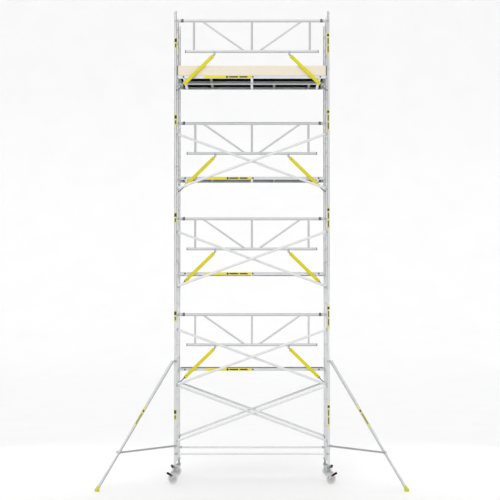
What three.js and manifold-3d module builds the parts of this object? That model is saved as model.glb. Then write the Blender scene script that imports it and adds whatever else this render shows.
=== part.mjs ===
// Rolling aluminium access tower: four lifts of three-stile ladder frames with a half lift on top,
// hook-on platforms with trapdoors, guardrails raised from the level below, cross braces, two
// stabilisers and four braked castors. Millimetres, X along the tower, Y away from the user, Z up.
import * as THREE from 'three';
import { mergeVertices } from 'three/addons/utils/BufferGeometryUtils.js';
import Module from 'manifold-3d';

const wasm = await Module();
wasm.setup();

// Overall layout
const BAY_LENGTH = 3050; // between upright centres along X
const STILE_SPACING = 650; // between neighbouring stiles of a frame along Y
const RUNG_PITCH = 280;
const RUNGS_PER_FRAME = 7;
const RUNGS_IN_TOP_FRAME = 4;
const FULL_FRAMES = 4;
const FRAME_BOTTOM = 380; // height of the lowest frame above the ground

// Clearances
const TOUCH_GAP = 0.3; // between two pieces that rest on each other
const SWIVEL_GAP = 0.4; // around a round piece that turns

// Frames
const UPRIGHT_RADIUS = 25.4;
const UPRIGHT_WALL = 2.6;
const RUNG_RADIUS = 14.5;
const SPIGOT_LENGTH = 100; // above the frame's top
const SPIGOT_SEAT = 60; // held in the upright's end
const SPIGOT_WALL = 3.2;

// Platforms
const PLATFORM_SIDE_GAP = 30; // from a stile's centre to the platform's side
const RAIL_HEIGHT = 60;
const RAIL_WALL = 4;
const RAIL_FLANGE = 30;
const RAIL_ABOVE_RUNG = 10; // rail's underside above the rung's centre
const DECK_THICKNESS = 10;
const DECK_END_GAP = 45; // from the rung's centre to the end of the rails
const MEMBER_WIDTH = 50; // cross-members under the deck
const HOOK_WIDTH = 36;
const HOOK_INSET = 45; // from the platform's side to the hook's centre
const HOOK_WALL = 9;
const HOOK_DROP = 8; // how far a hook reaches below the rung's centre
const HATCH_LENGTH = 700;
const HATCH_END_GAP = 355; // from the rung's centre to the hatch
const HATCH_SIDE_GAP = 45; // from the platform's side to the hatch
const HATCH_GAP = 3; // around the trapdoor
const HATCH_LEDGE = 15; // width of the ledge under each end of the trapdoor
const GRIP_FROM_END = 60; // finger hole from the trapdoor's end
const GRIP_FROM_EDGE = 44; // far side of the hole from the trapdoor's edge
const GRIP_LENGTH = 60;
const GRIP_WIDTH = 43;
const FIRST_PLATFORM_RUNG = 6;
const PLATFORM_LEVELS = 4;

// Guardrails
const GUARD_RUNGS = 4; // top rail clips on above this rung, counted from the platform's
const GUARD_ABOVE_RUNG = 40;
const GUARD_GAP = 615; // between the two rails
const GUARD_RAIL_RADIUS = 33;
const GUARD_RAIL_WALL = 2.5;
const GUARD_LOWER_END_GAP = 190; // from the upright's centre to the lower rail's end
const GUARD_POST_RADIUS = 22;
const GUARD_POST_INSET = 365; // outer post from the upright's centre
const GUARD_DIAGONAL_RADIUS = 20;
const GUARD_DIAGONAL_INSET = 150; // diagonal's head from the outer post
const GUARD_DIAGONAL_FOOT = 130;

// Folding struts of the guardrails
const STRUT_DEPTH = 68; // seen from the front
const STRUT_THICKNESS = 44;
const STRUT_CORNER = 14; // cut off each corner of the section
const STRUT_WALL = 3;
const STRUT_START = 36; // tube's upper end from the pivot
const STRUT_PIVOT_INSET = 775; // pivot from the upright's centre
const STRUT_PIVOT_DROP = 60; // pivot below the lower rail's centre
const STRUT_HOOK_ABOVE_RUNG = 45; // over the rung below the platform
const STRUT_HOOK_HEIGHT = 36;
const STRUT_HOOK_LENGTH = 170; // bare steel end between tube and upright
const STRUT_HOOK_RADIUS = 11;
const STRUT_HOOK_SHORT = 11; // cheeks stop this far short of the upright's centre
const PIN_RADIUS = 6;
const PIN_PROUD = 2; // pin's end past the piece that holds it
const TONGUE_THICKNESS = 9;
const TONGUE_LENGTH = 46;
const LUG_THICKNESS = 7;
const LUG_HALF = 22;
const LUG_BELOW_PIN = 16;

// Toe board
const TOE_HEIGHT = 195;
const TOE_THICKNESS = 18;
const TOE_END_GAP = 20; // from the rung's centre to the board's end

// Braces and their claws
const BRACE_RADIUS = 24;
const BRACE_WALL = 2;
const BRACE_RISE_RUNGS = 4;
const BRACE_ABOVE_RUNG = 34; // tube's centre over the rungs that its claws hold
const BRACE_FIRST = 62; // first brace's centre inside the upright's centre
const BRACE_STEP = 52; // to the brace that crosses it
const CLAW_WALL = 7;
const CLAW_WIDTH = 36;
const CLAW_REACH = 0.75; // share of the tube's radius that a claw reaches past its centre
const BASE_RAIL_RADIUS = 21;
const BASE_RAIL_ABOVE_RUNG = 72; // over the lowest rung
const BASE_BRACE_RUNG = 1;
const VENT = 7; // width of the square drain hole in a closed tube
const DRAIN_SIDES = 4;

// Stabilisers
const STABILISER_OUT = 1416;
const STABILISER_FORWARD = 1090;
const STABILISER_TOP_RUNG = 7; // upper clamp sits below this rung
const STABILISER_LOW_RUNG = 1; // lower clamp sits below this rung
const STABILISER_BELOW_RUNG = 50; // clamp's centre below its rung
const STABILISER_MEET = 700; // lower strut's clamp on the main tube
const STABILISER_RADIUS = 29;
const STABILISER_WALL = 2.5;
const STABILISER_START = 62; // main tube's upper end from the upright's centre
const STABILISER_STRUT_RADIUS = 19;
const CLAMP_HEIGHT = 40;
const CLAMP_WALL = 8;
const ARM_RADIUS = 14;
const FOOT_RADIUS = 50;
const FOOT_HEIGHT = 62;

// Castors
const WHEEL_RADIUS = 100;
const WHEEL_WIDTH = 50;
const WHEEL_SEGMENTS = 16;
const WHEEL_TRAIL = 45; // axle behind the swivel's axis
const AXLE_RADIUS = 8;
const AXLE_CLEARANCE = 1.5;
const CHEEK_GAP = 4; // between wheel and fork
const CHEEK_THICKNESS = 6;
const CHEEK_EDGE = 16; // metal around the axle and past the pedal's pins
const FORK_PLATE = 18;
const FORK_CLEARANCE = 27; // from the wheel's top to the fork's plate
const SWIVEL_RADIUS = 36;
const SWIVEL_HEIGHT = 25;
const LEG_IN_UPRIGHT = 150;
const NUT_RADIUS = 33;
const NUT_HEIGHT = 34;
const PEDAL_PIVOT_OUT = 60;
const PEDAL_RISE = 0.65; // pivot over the axle, as a share of the wheel's radius
const PEDAL_SLOPE = 27; // degrees above level
const PEDAL_REACH = 0.66; // tread's start from the pivot, as a share of the wheel's radius
const PEDAL_TREAD_LENGTH = 52;
const PEDAL_TREAD_THICKNESS = 24;
const PEDAL_ARM_THICKNESS = 6;
const PEDAL_ARM_HALF = 18;

// Joined solids and the tools that cut them reach this far past a face.
const STEP = 1;

const TUBE_SIDES = 6;

// Sizes that follow from the ones above
const POST_X = BAY_LENGTH / 2;
const NEAR_Y = -STILE_SPACING;
const FAR_Y = STILE_SPACING;
const FRAME_HEIGHT = RUNGS_PER_FRAME * RUNG_PITCH;
const RAIL_END = POST_X - DECK_END_GAP;
const PLATFORM_WIDTH = STILE_SPACING - 2 * PLATFORM_SIDE_GAP;
const HATCH_START = POST_X - HATCH_END_GAP - HATCH_LENGTH;
const HATCH_WIDTH = PLATFORM_WIDTH - 2 * HATCH_SIDE_GAP;
const UPRIGHT_BORE = UPRIGHT_RADIUS - UPRIGHT_WALL;
const LEG_RADIUS = UPRIGHT_BORE * Math.cos(Math.PI / TUBE_SIDES) - SWIVEL_GAP;
const WHEEL_CORNER = WHEEL_RADIUS / Math.cos(Math.PI / WHEEL_SEGMENTS);
const GUARD_TOP = GUARD_RUNGS * RUNG_PITCH + GUARD_ABOVE_RUNG; // above the platform's rung
const GUARD_LOW = GUARD_TOP - GUARD_GAP;
const GUARD_LOWER_HALF = POST_X - GUARD_LOWER_END_GAP;
const GUARD_POST_AT = POST_X - GUARD_POST_INSET;
const GUARD_DIAGONAL_TOP = GUARD_POST_AT - GUARD_DIAGONAL_INSET;
const STRUT_PIVOT_AT = POST_X - STRUT_PIVOT_INSET;
const STRUT_HOOK_DROP = RUNG_PITCH - STRUT_HOOK_ABOVE_RUNG; // below the platform's rung
const FORK_TOP = 2 * WHEEL_RADIUS + FORK_CLEARANCE + FORK_PLATE;
const PEDAL_PIVOT_HEIGHT = WHEEL_RADIUS * (1 + PEDAL_RISE);
const PEDAL_TREAD_START = WHEEL_RADIUS * PEDAL_REACH;
const PEDAL_TREAD_END = PEDAL_TREAD_START + PEDAL_TREAD_LENGTH;

const UP = new THREE.Vector3(0, 0, 1);
const ALONG = new THREE.Vector3(1, 0, 0);
const ACROSS = new THREE.Vector3(0, 1, 0);

const tower = new THREE.Group();

// ---------------------------------------------------------------- materials

const aluminium = () => material(0xd2d4d6, 0.42, 0.75);
const paleAluminium = () => material(0xe0e2e4, 0.45, 0.7);
const yellowPaint = () => material(0xd6cb2e, 0.5, 0.1);
const plywoodDeck = () => material(0x3b342e, 0.8, 0.0);
const birchBoard = () => material(0xe6d9c3, 0.7, 0.0);
const castSteel = () => material(0x8a8d90, 0.5, 0.8);
const blackPlastic = () => material(0x2a2626, 0.55, 0.0);
const paleTyre = () => material(0xdad8d0, 0.6, 0.0);

function material(color, roughness, metalness) {
  return new THREE.MeshStandardMaterial({ color, roughness, metalness });
}

// ---------------------------------------------------------------- solids

function solidOf(geometry) {
  const plain = geometry.clone();
  plain.deleteAttribute('normal');
  plain.deleteAttribute('uv');
  const merged = mergeVertices(plain, 1e-3);
  return new wasm.Manifold(new wasm.Mesh({
    numProp: 3,
    vertProperties: Float32Array.from(merged.attributes.position.array),
    triVerts: Uint32Array.from(merged.index.array),
  }));
}

function geometryOf(solid) {
  const mesh = solid.getMesh();
  const geometry = new THREE.BufferGeometry();
  geometry.setAttribute('position', new THREE.BufferAttribute(mesh.vertProperties.slice(), 3));
  geometry.setIndex(new THREE.BufferAttribute(mesh.triVerts.slice(), 1));
  geometry.computeVertexNormals();
  return geometry;
}

// Radius of a hexagonal hole that a tube of this radius rests in, and of one it turns in.
const resting = (radius, gap = TOUCH_GAP) => radius + gap / Math.cos(Math.PI / TUBE_SIDES);
const turning = (radius) => (radius + SWIVEL_GAP) / Math.cos(Math.PI / TUBE_SIDES);

const join = (solids) => solids.reduce((whole, piece) => whole.add(piece));
const cut = (solid, tools) => tools.reduce((whole, tool) => whole.subtract(tool), solid);
const point = (x, y, z) => new THREE.Vector3(x, y, z);

function box(x0, x1, y0, y1, z0, z1) {
  const geometry = new THREE.BoxGeometry(x1 - x0, y1 - y0, z1 - z0);
  geometry.translate((x0 + x1) / 2, (y0 + y1) / 2, (z0 + z1) / 2);
  return solidOf(geometry);
}

// Frame of axes whose Z runs along `axis` and whose X is as near `side` as it can be.
function basis(axis, side) {
  const z = axis.clone().normalize();
  const x = side.clone().addScaledVector(z, -side.dot(z)).normalize();
  const y = new THREE.Vector3().crossVectors(z, x);
  return new THREE.Matrix4().makeBasis(x, y, z);
}

// Corners of a regular polygon; the first one is `turn` steps past the X axis.
function corners(radius, sides, turn = 0.5) {
  return Array.from({ length: sides }, (_, i) => {
    const angle = ((i + turn) * 2 * Math.PI) / sides;
    return new THREE.Vector2(radius * Math.cos(angle), radius * Math.sin(angle));
  });
}

function extrude(outline, depth) {
  return new THREE.ExtrudeGeometry(new THREE.Shape(outline), { depth, bevelEnabled: false });
}

// Straight bar between two points with a flat that faces `flat`.
function bar(from, to, radius, flat = UP, sides = TUBE_SIDES) {
  const axis = to.clone().sub(from);
  const geometry = extrude(corners(radius, sides), axis.length());
  geometry.applyMatrix4(basis(axis, flat).setPosition(from));
  return solidOf(geometry);
}

// Plate of a given outline in the XZ plane, centred on `y`.
function plateXZ(outline, thickness, y = 0) {
  const geometry = extrude(outline, thickness);
  geometry.applyMatrix4(new THREE.Matrix4().makeRotationX(Math.PI / 2));
  geometry.translate(0, y + thickness / 2, 0);
  return solidOf(geometry);
}

// The hollow inside a closed tube, with a drain hole near its first end.
function hollow(from, to, radius, plug) {
  const along = to.clone().sub(from).normalize();
  const start = from.clone().addScaledVector(along, plug);
  const end = to.clone().addScaledVector(along, -plug);
  const drain = start.clone().addScaledVector(along, plug);
  const outside = drain.clone().addScaledVector(ACROSS, 2 * radius);
  return [bar(start, end, radius, ACROSS), bar(drain, outside, VENT / 2, along, DRAIN_SIDES)];
}

// Open claw round a tube at the origin: axis Z, mouth facing +X, its ends short of x = `reach`.
function clawOutline(radius, turn, reach) {
  const inner = resting(radius);
  const wrapped = corners(1, TUBE_SIDES, turn).filter((p) => p.x * inner < reach);
  const outside = wrapped.map((p) => p.clone().multiplyScalar(inner + CLAW_WALL));
  const inside = wrapped.map((p) => p.clone().multiplyScalar(inner)).reverse();
  return [...outside, ...inside];
}

function claw(at, axis, mouth, outline, width) {
  const geometry = extrude(outline, width);
  geometry.translate(0, 0, -width / 2);
  geometry.applyMatrix4(basis(axis, mouth).setPosition(at));
  return solidOf(geometry);
}

function uprightClaw(at, mouth) {
  const outline = clawOutline(UPRIGHT_RADIUS, 0, UPRIGHT_RADIUS * CLAW_REACH);
  return claw(at, UP, mouth, outline, CLAW_WIDTH);
}

function rungClaw(at, mouth) {
  const outline = clawOutline(RUNG_RADIUS, 0.5, RUNG_RADIUS * CLAW_REACH);
  return claw(at, ACROSS, mouth, outline, CLAW_WIDTH);
}

// ---------------------------------------------------------------- placing

function place(name, geometry, paint, x = 0, y = 0, z = 0, turn = 0) {
  const mesh = new THREE.Mesh(geometry, paint);
  mesh.name = name;
  mesh.position.set(x, y, z);
  mesh.rotation.z = turn;
  tower.add(mesh);
}

// Height of a rung above the ground, counted from the lowest one.
const rungHeight = (n) => FRAME_BOTTOM + RUNG_PITCH / 2 + n * RUNG_PITCH;
const platformRung = (level) => rungHeight(FIRST_PLATFORM_RUNG + level * RUNGS_PER_FRAME);
const STABILISER_TOP = rungHeight(STABILISER_TOP_RUNG) - STABILISER_BELOW_RUNG;
const STABILISER_LOW = rungHeight(STABILISER_LOW_RUNG) - STABILISER_BELOW_RUNG;
const SIDES = [['left', -1], ['right', 1]];

// ---------------------------------------------------------------- frames

// Ladder frame with three stiles and a spigot on each; its lower end is at the origin.
function frameGeometry(rungs) {
  const height = rungs * RUNG_PITCH;
  const top = height - TOUCH_GAP;
  const spigotTop = top + SPIGOT_LENGTH;
  const spigotRadius = resting(UPRIGHT_BORE, -TOUCH_GAP);
  const metal = [];
  const space = [];
  for (const y of [NEAR_Y, 0, FAR_Y]) {
    metal.push(bar(point(0, y, 0), point(0, y, top), UPRIGHT_RADIUS, ACROSS));
    metal.push(bar(point(0, y, top - STEP), point(0, y, spigotTop), spigotRadius, ACROSS));
    space.push(bar(point(0, y, -STEP), point(0, y, top - SPIGOT_SEAT), UPRIGHT_BORE, ACROSS));
    const seat = point(0, y, top - SPIGOT_SEAT - STEP);
    space.push(bar(seat, point(0, y, spigotTop + STEP), spigotRadius - SPIGOT_WALL, ACROSS));
  }
  for (let n = 0; n < rungs; n += 1) {
    const z = (n + 0.5) * RUNG_PITCH;
    metal.push(bar(point(0, NEAR_Y, z), point(0, FAR_Y, z), RUNG_RADIUS, ALONG));
  }
  return geometryOf(cut(join(metal), space));
}

function addFrames() {
  const full = frameGeometry(RUNGS_PER_FRAME);
  const half = frameGeometry(RUNGS_IN_TOP_FRAME);
  for (const [side, sign] of SIDES) {
    for (let n = 0; n < FULL_FRAMES; n += 1) {
      const z = FRAME_BOTTOM + n * FRAME_HEIGHT;
      place(`frame_${side}_${n + 1}`, full, aluminium(), sign * POST_X, 0, z);
    }
    const z = FRAME_BOTTOM + FULL_FRAMES * FRAME_HEIGHT;
    place(`frame_${side}_top`, half, aluminium(), sign * POST_X, 0, z);
  }
}

// ---------------------------------------------------------------- platforms

// Side rail of angle section, its web on the outside.
function sideRail(side) {
  const outer = PLATFORM_WIDTH / 2;
  const web = side > 0 ? [outer - RAIL_WALL, outer] : [-outer, RAIL_WALL - outer];
  const flange = side > 0 ? [outer - RAIL_FLANGE, outer] : [-outer, RAIL_FLANGE - outer];
  const bottom = RAIL_ABOVE_RUNG;
  return [
    box(-RAIL_END, RAIL_END, ...web, bottom, bottom + RAIL_HEIGHT),
    box(-RAIL_END, RAIL_END, ...flange, bottom, bottom + RAIL_WALL),
  ];
}

function crossMember(x0, x1) {
  const y = PLATFORM_WIDTH / 2 - RAIL_WALL / 2;
  const top = RAIL_ABOVE_RUNG + RAIL_HEIGHT - DECK_THICKNESS;
  return box(x0, x1, -y, y, RAIL_ABOVE_RUNG + RAIL_WALL / 2, top);
}

// Saddle that hangs one corner of the platform on its rung.
function platformHook(sideX, sideY) {
  const y = sideY * (PLATFORM_WIDTH / 2 - HOOK_INSET);
  const inner = sideX * (RAIL_END - MEMBER_WIDTH / 2);
  const outer = sideX * (POST_X + RUNG_RADIUS + HOOK_WALL);
  const top = RUNG_RADIUS + 2 * HOOK_WALL;
  const [x0, x1] = [inner, outer].sort((a, b) => a - b);
  return box(x0, x1, y - HOOK_WIDTH / 2, y + HOOK_WIDTH / 2, -HOOK_DROP, top);
}

// Room for the two rungs that the platform hangs on.
function rungRoom(sideX) {
  const radius = resting(RUNG_RADIUS);
  const x = sideX * POST_X;
  const half = RUNG_RADIUS + TOUCH_GAP;
  const slot = box(x - half, x + half, -STILE_SPACING, STILE_SPACING, -RUNG_RADIUS, 0);
  return bar(point(x, -STILE_SPACING, 0), point(x, STILE_SPACING, 0), radius, ALONG).add(slot);
}

// Platform hung on a pair of rungs whose centres are at height 0.
function platformGeometry(hasHatch) {
  const top = RAIL_ABOVE_RUNG + RAIL_HEIGHT;
  const deckHalf = PLATFORM_WIDTH / 2 - RAIL_WALL / 2;
  const hatchEnd = HATCH_START + HATCH_LENGTH;
  const half = MEMBER_WIDTH / 2;
  const middles = [-HATCH_START - HATCH_LENGTH / 2, 0];
  const pieces = [
    box(-RAIL_END, RAIL_END, -deckHalf, deckHalf, top - DECK_THICKNESS, top),
    ...sideRail(1),
    ...sideRail(-1),
    ...middles.map((x) => crossMember(x - half, x + half)),
    crossMember(-RAIL_END, MEMBER_WIDTH - RAIL_END),
    crossMember(RAIL_END - MEMBER_WIDTH, RAIL_END),
    crossMember(HATCH_START + HATCH_LEDGE - MEMBER_WIDTH, HATCH_START + HATCH_LEDGE),
    crossMember(hatchEnd - HATCH_LEDGE, hatchEnd - HATCH_LEDGE + MEMBER_WIDTH),
  ];
  for (const sideX of [-1, 1]) {
    for (const sideY of [-1, 1]) {
      pieces.push(platformHook(sideX, sideY));
    }
  }
  const rooms = [rungRoom(-1), rungRoom(1)];
  if (hasHatch) {
    const y = HATCH_WIDTH / 2;
    rooms.push(box(HATCH_START, hatchEnd, -y, y, top - DECK_THICKNESS, top + STEP));
  }
  return geometryOf(cut(join(pieces), rooms));
}

function trapdoorGeometry() {
  const top = RAIL_ABOVE_RUNG + RAIL_HEIGHT;
  const x0 = HATCH_START + HATCH_GAP;
  const x1 = HATCH_START + HATCH_LENGTH - HATCH_GAP;
  const y = HATCH_WIDTH / 2 - HATCH_GAP;
  const panel = box(x0, x1, -y, y, top - DECK_THICKNESS + TOUCH_GAP, top);
  const gripX = x0 + GRIP_FROM_END;
  const gripY = GRIP_FROM_EDGE - y;
  const grip = box(gripX, gripX + GRIP_LENGTH, gripY - GRIP_WIDTH, gripY, 0, top + STEP);
  return geometryOf(panel.subtract(grip));
}

function addPlatforms() {
  const withHatch = platformGeometry(true);
  const plain = platformGeometry(false);
  const trapdoor = trapdoorGeometry();
  const bayCentre = STILE_SPACING / 2;
  for (let level = 0; level < PLATFORM_LEVELS; level += 1) {
    const z = platformRung(level);
    place(`platform_${level + 1}`, withHatch, plywoodDeck(), 0, bayCentre, z);
    place(`trapdoor_${level + 1}`, trapdoor, plywoodDeck(), 0, bayCentre, z);
  }
  place('platform_4_near', plain, plywoodDeck(), 0, -bayCentre, platformRung(PLATFORM_LEVELS - 1));
}

function addToeBoard() {
  const half = POST_X - TOE_END_GAP;
  const y0 = NEAR_Y + UPRIGHT_RADIUS + TOUCH_GAP;
  const z0 = platformRung(PLATFORM_LEVELS - 1) + RAIL_ABOVE_RUNG + RAIL_HEIGHT + TOUCH_GAP;
  const board = box(-half, half, y0, y0 + TOE_THICKNESS, z0, z0 + TOE_HEIGHT);
  place('toe_board', geometryOf(board), birchBoard());
}

// ---------------------------------------------------------------- guardrails

// Two lugs and a pin under the lower rail, which carry one strut.
function strutLugs(x) {
  const pivot = GUARD_LOW - STRUT_PIVOT_DROP;
  const inner = TONGUE_THICKNESS / 2 + SWIVEL_GAP;
  const outer = inner + LUG_THICKNESS;
  const bottom = pivot - LUG_BELOW_PIN;
  return [
    box(x - LUG_HALF, x + LUG_HALF, inner, outer, bottom, GUARD_LOW),
    box(x - LUG_HALF, x + LUG_HALF, -outer, -inner, bottom, GUARD_LOW),
    bar(point(x, -outer - PIN_PROUD, pivot), point(x, outer + PIN_PROUD, pivot), PIN_RADIUS),
  ];
}

// Guardrail frame for a platform whose rung is at height 0.
function guardrailGeometry() {
  const reach = POST_X - UPRIGHT_RADIUS - CLAW_WALL / 2;
  const topEnds = [point(-reach, 0, GUARD_TOP), point(reach, 0, GUARD_TOP)];
  const lowEnds = [point(-GUARD_LOWER_HALF, 0, GUARD_LOW), point(GUARD_LOWER_HALF, 0, GUARD_LOW)];
  const members = [-GUARD_POST_AT, 0, GUARD_POST_AT].map((x) => ({
    foot: point(x, 0, GUARD_LOW),
    head: point(x, 0, GUARD_TOP),
    radius: GUARD_POST_RADIUS,
  }));
  for (const sign of [-1, 1]) {
    members.push({
      foot: point(sign * GUARD_DIAGONAL_FOOT, 0, GUARD_LOW),
      head: point(sign * GUARD_DIAGONAL_TOP, 0, GUARD_TOP),
      radius: GUARD_DIAGONAL_RADIUS,
    });
  }
  const inner = GUARD_RAIL_RADIUS - GUARD_RAIL_WALL;
  const tubes = members.map((m) => bar(m.foot, m.head, m.radius, ACROSS));
  const solid = cut(join([
    bar(...topEnds, GUARD_RAIL_RADIUS),
    bar(...lowEnds, GUARD_RAIL_RADIUS),
    uprightClaw(point(-POST_X, 0, GUARD_TOP), point(-1, 0, 0)),
    uprightClaw(point(POST_X, 0, GUARD_TOP), ALONG),
    ...tubes,
  ]), [
    ...hollow(...topEnds, inner, GUARD_RAIL_RADIUS),
    bar(
      lowEnds[0].addScaledVector(ALONG, -STEP),
      lowEnds[1].addScaledVector(ALONG, STEP),
      inner,
    ),
  ]);
  return geometryOf(join([solid, ...strutLugs(-STRUT_PIVOT_AT), ...strutLugs(STRUT_PIVOT_AT)]));
}

// Bar of rectangular section with cut corners: `depth` along X and Z, `thickness` along Y.
function flatBar(from, to, depth, thickness, corner) {
  const x = thickness / 2;
  const y = depth / 2;
  const outline = [
    [x, corner - y], [x, y - corner], [x - corner, y], [corner - x, y],
    [-x, y - corner], [-x, corner - y], [corner - x, -y], [x - corner, -y],
  ].map(([u, v]) => new THREE.Vector2(u, v));
  const axis = to.clone().sub(from);
  const geometry = extrude(outline, axis.length());
  geometry.applyMatrix4(basis(axis, ACROSS).setPosition(from));
  return solidOf(geometry);
}

// Strut on the +X side, from its pivot under the lower rail down to its hook on the upright.
function strutGeometry() {
  const pivot = point(STRUT_PIVOT_AT, 0, GUARD_LOW - STRUT_PIVOT_DROP);
  const cup = point(POST_X - UPRIGHT_RADIUS - STRUT_HOOK_RADIUS, 0, -STRUT_HOOK_DROP);
  const along = cup.clone().sub(pivot);
  const length = along.length();
  along.normalize();
  const at = (distance) => pivot.clone().addScaledVector(along, distance);
  const bare = length - STRUT_HOOK_LENGTH;
  const tongueWidth = turning(PIN_RADIUS) + LUG_THICKNESS;
  const side = new THREE.Vector3().crossVectors(along, ACROSS).multiplyScalar(tongueWidth);
  const flatten = (v) => new THREE.Vector2(v.x, v.z);
  const tongueOutline = [
    at(-tongueWidth).add(side),
    at(TONGUE_LENGTH).add(side),
    at(TONGUE_LENGTH).sub(side),
    at(-tongueWidth).sub(side),
  ].map(flatten);
  const hookOutline = clawOutline(UPRIGHT_RADIUS, 0, -STRUT_HOOK_SHORT);
  const solid = join([
    flatBar(at(STRUT_START), at(bare), STRUT_DEPTH, STRUT_THICKNESS, STRUT_CORNER),
    plateXZ(tongueOutline, TONGUE_THICKNESS),
    bar(at(bare - STEP), cup, STRUT_HOOK_RADIUS, ACROSS),
    claw(point(POST_X, 0, -STRUT_HOOK_DROP), UP, ALONG, hookOutline, STRUT_HOOK_HEIGHT),
  ]);
  const hole = point(0, STRUT_THICKNESS, 0);
  const depth = STRUT_DEPTH - 2 * STRUT_WALL;
  const thickness = STRUT_THICKNESS - 2 * STRUT_WALL;
  const insideStart = at(STRUT_START + STRUT_HOOK_HEIGHT);
  const drain = at(STRUT_START + 2 * STRUT_HOOK_HEIGHT);
  return geometryOf(cut(solid, [
    bar(pivot.clone().sub(hole), pivot.clone().add(hole), turning(PIN_RADIUS)),
    flatBar(insideStart, at(bare - STRUT_HOOK_HEIGHT), depth, thickness, STRUT_CORNER),
    bar(drain, drain.clone().add(hole), VENT / 2, along, DRAIN_SIDES),
  ]));
}

function addGuardrails() {
  const guardrail = guardrailGeometry();
  const strut = strutGeometry();
  for (let level = 0; level < PLATFORM_LEVELS; level += 1) {
    const y = level === PLATFORM_LEVELS - 1 ? NEAR_Y : 0;
    const z = platformRung(level);
    place(`guardrail_${level + 1}`, guardrail, aluminium(), 0, y, z);
    place(`guardrail_strut_${level + 1}_right`, strut, yellowPaint(), 0, y, z);
    place(`guardrail_strut_${level + 1}_left`, strut, yellowPaint(), 0, y, z, Math.PI);
  }
}

// ---------------------------------------------------------------- braces

// Diagonal brace that rises towards +X over the rungs that it hangs on, the lower at height 0.
function braceGeometry() {
  const lowRung = point(-POST_X, 0, 0);
  const highRung = point(POST_X, 0, BRACE_RISE_RUNGS * RUNG_PITCH);
  const lift = point(0, 0, BRACE_ABOVE_RUNG);
  const start = lowRung.clone().add(lift);
  const end = highRung.clone().add(lift);
  const solid = join([
    bar(start, end, BRACE_RADIUS, ACROSS),
    rungClaw(lowRung, point(-1, 0, 0)),
    rungClaw(highRung, ALONG),
  ]);
  const reach = ACROSS.clone().multiplyScalar(BRACE_RADIUS + STEP);
  const rooms = [lowRung, highRung].map((p) => (
    bar(p.clone().sub(reach), p.clone().add(reach), resting(RUNG_RADIUS), ALONG)
  ));
  const space = hollow(start, end, BRACE_RADIUS - BRACE_WALL, 2 * BRACE_RADIUS);
  return geometryOf(cut(solid, [...rooms, ...space]));
}

// Level brace between two uprights.
function baseRailGeometry() {
  const reach = POST_X - UPRIGHT_RADIUS - CLAW_WALL / 2;
  const ends = [point(-reach, 0, 0), point(reach, 0, 0)];
  const solid = join([
    bar(...ends, BASE_RAIL_RADIUS),
    uprightClaw(point(-POST_X, 0, 0), point(-1, 0, 0)),
    uprightClaw(point(POST_X, 0, 0), ALONG),
  ]);
  return geometryOf(cut(solid, hollow(...ends, BASE_RAIL_RADIUS - BRACE_WALL, 2 * BASE_RAIL_RADIUS)));
}

// A crossing pair of diagonal braces beside the near (-1) or far (+1) uprights.
function addCross(name, brace, face, rung) {
  const y = face * (STILE_SPACING - BRACE_FIRST);
  const crossingY = face * (STILE_SPACING - BRACE_FIRST - BRACE_STEP);
  const z = rungHeight(rung);
  place(`${name}_rising_right`, brace, paleAluminium(), 0, y, z);
  place(`${name}_rising_left`, brace, paleAluminium(), 0, crossingY, z, Math.PI);
}

function addBraces() {
  const brace = braceGeometry();
  const baseRail = baseRailGeometry();
  addCross('base_brace_near', brace, -1, BASE_BRACE_RUNG);
  addCross('base_brace_far', brace, 1, BASE_BRACE_RUNG);
  for (let level = 0; level < PLATFORM_LEVELS - 1; level += 1) {
    const rung = FIRST_PLATFORM_RUNG - 1 + level * RUNGS_PER_FRAME;
    addCross(`brace_${level + 1}`, brace, -1, rung);
  }
  const baseHeight = rungHeight(0) + BASE_RAIL_ABOVE_RUNG;
  place('base_rail_near', baseRail, paleAluminium(), 0, NEAR_Y, baseHeight);
  place('base_rail_far', baseRail, paleAluminium(), 0, FAR_Y, baseHeight);
}

// ---------------------------------------------------------------- stabilisers

const STABILISER_RUN = Math.hypot(STABILISER_OUT, STABILISER_FORWARD);

// Ring that turns freely on an upright standing at the origin.
function clampRing(z) {
  const inner = turning(UPRIGHT_RADIUS);
  const from = point(0, 0, z - CLAMP_HEIGHT / 2);
  const to = point(0, 0, z + CLAMP_HEIGHT / 2);
  const outer = bar(from, to, inner + CLAMP_WALL, ACROSS);
  from.z -= STEP;
  to.z += STEP;
  return outer.subtract(bar(from, to, inner, ACROSS));
}

// Main tube of a stabiliser that leans out along +X from an upright at the origin.
function stabiliserLine() {
  const top = point(STABILISER_START, 0, STABILISER_TOP);
  const foot = point(STABILISER_RUN, 0, FOOT_HEIGHT / 2);
  return { top, foot };
}

function stabiliserGeometry() {
  const { top, foot } = stabiliserLine();
  const ringEdge = UPRIGHT_RADIUS + CLAMP_WALL;
  const solid = join([
    clampRing(STABILISER_TOP),
    bar(point(ringEdge, 0, STABILISER_TOP), top, ARM_RADIUS),
    bar(top, foot, STABILISER_RADIUS, ACROSS),
    bar(
      point(STABILISER_RUN, 0, 0),
      point(STABILISER_RUN, 0, FOOT_HEIGHT),
      FOOT_RADIUS,
      ALONG,
    ),
  ]);
  const inner = STABILISER_RADIUS - STABILISER_WALL;
  return geometryOf(cut(solid, hollow(top, foot, inner, FOOT_HEIGHT)));
}

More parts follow.
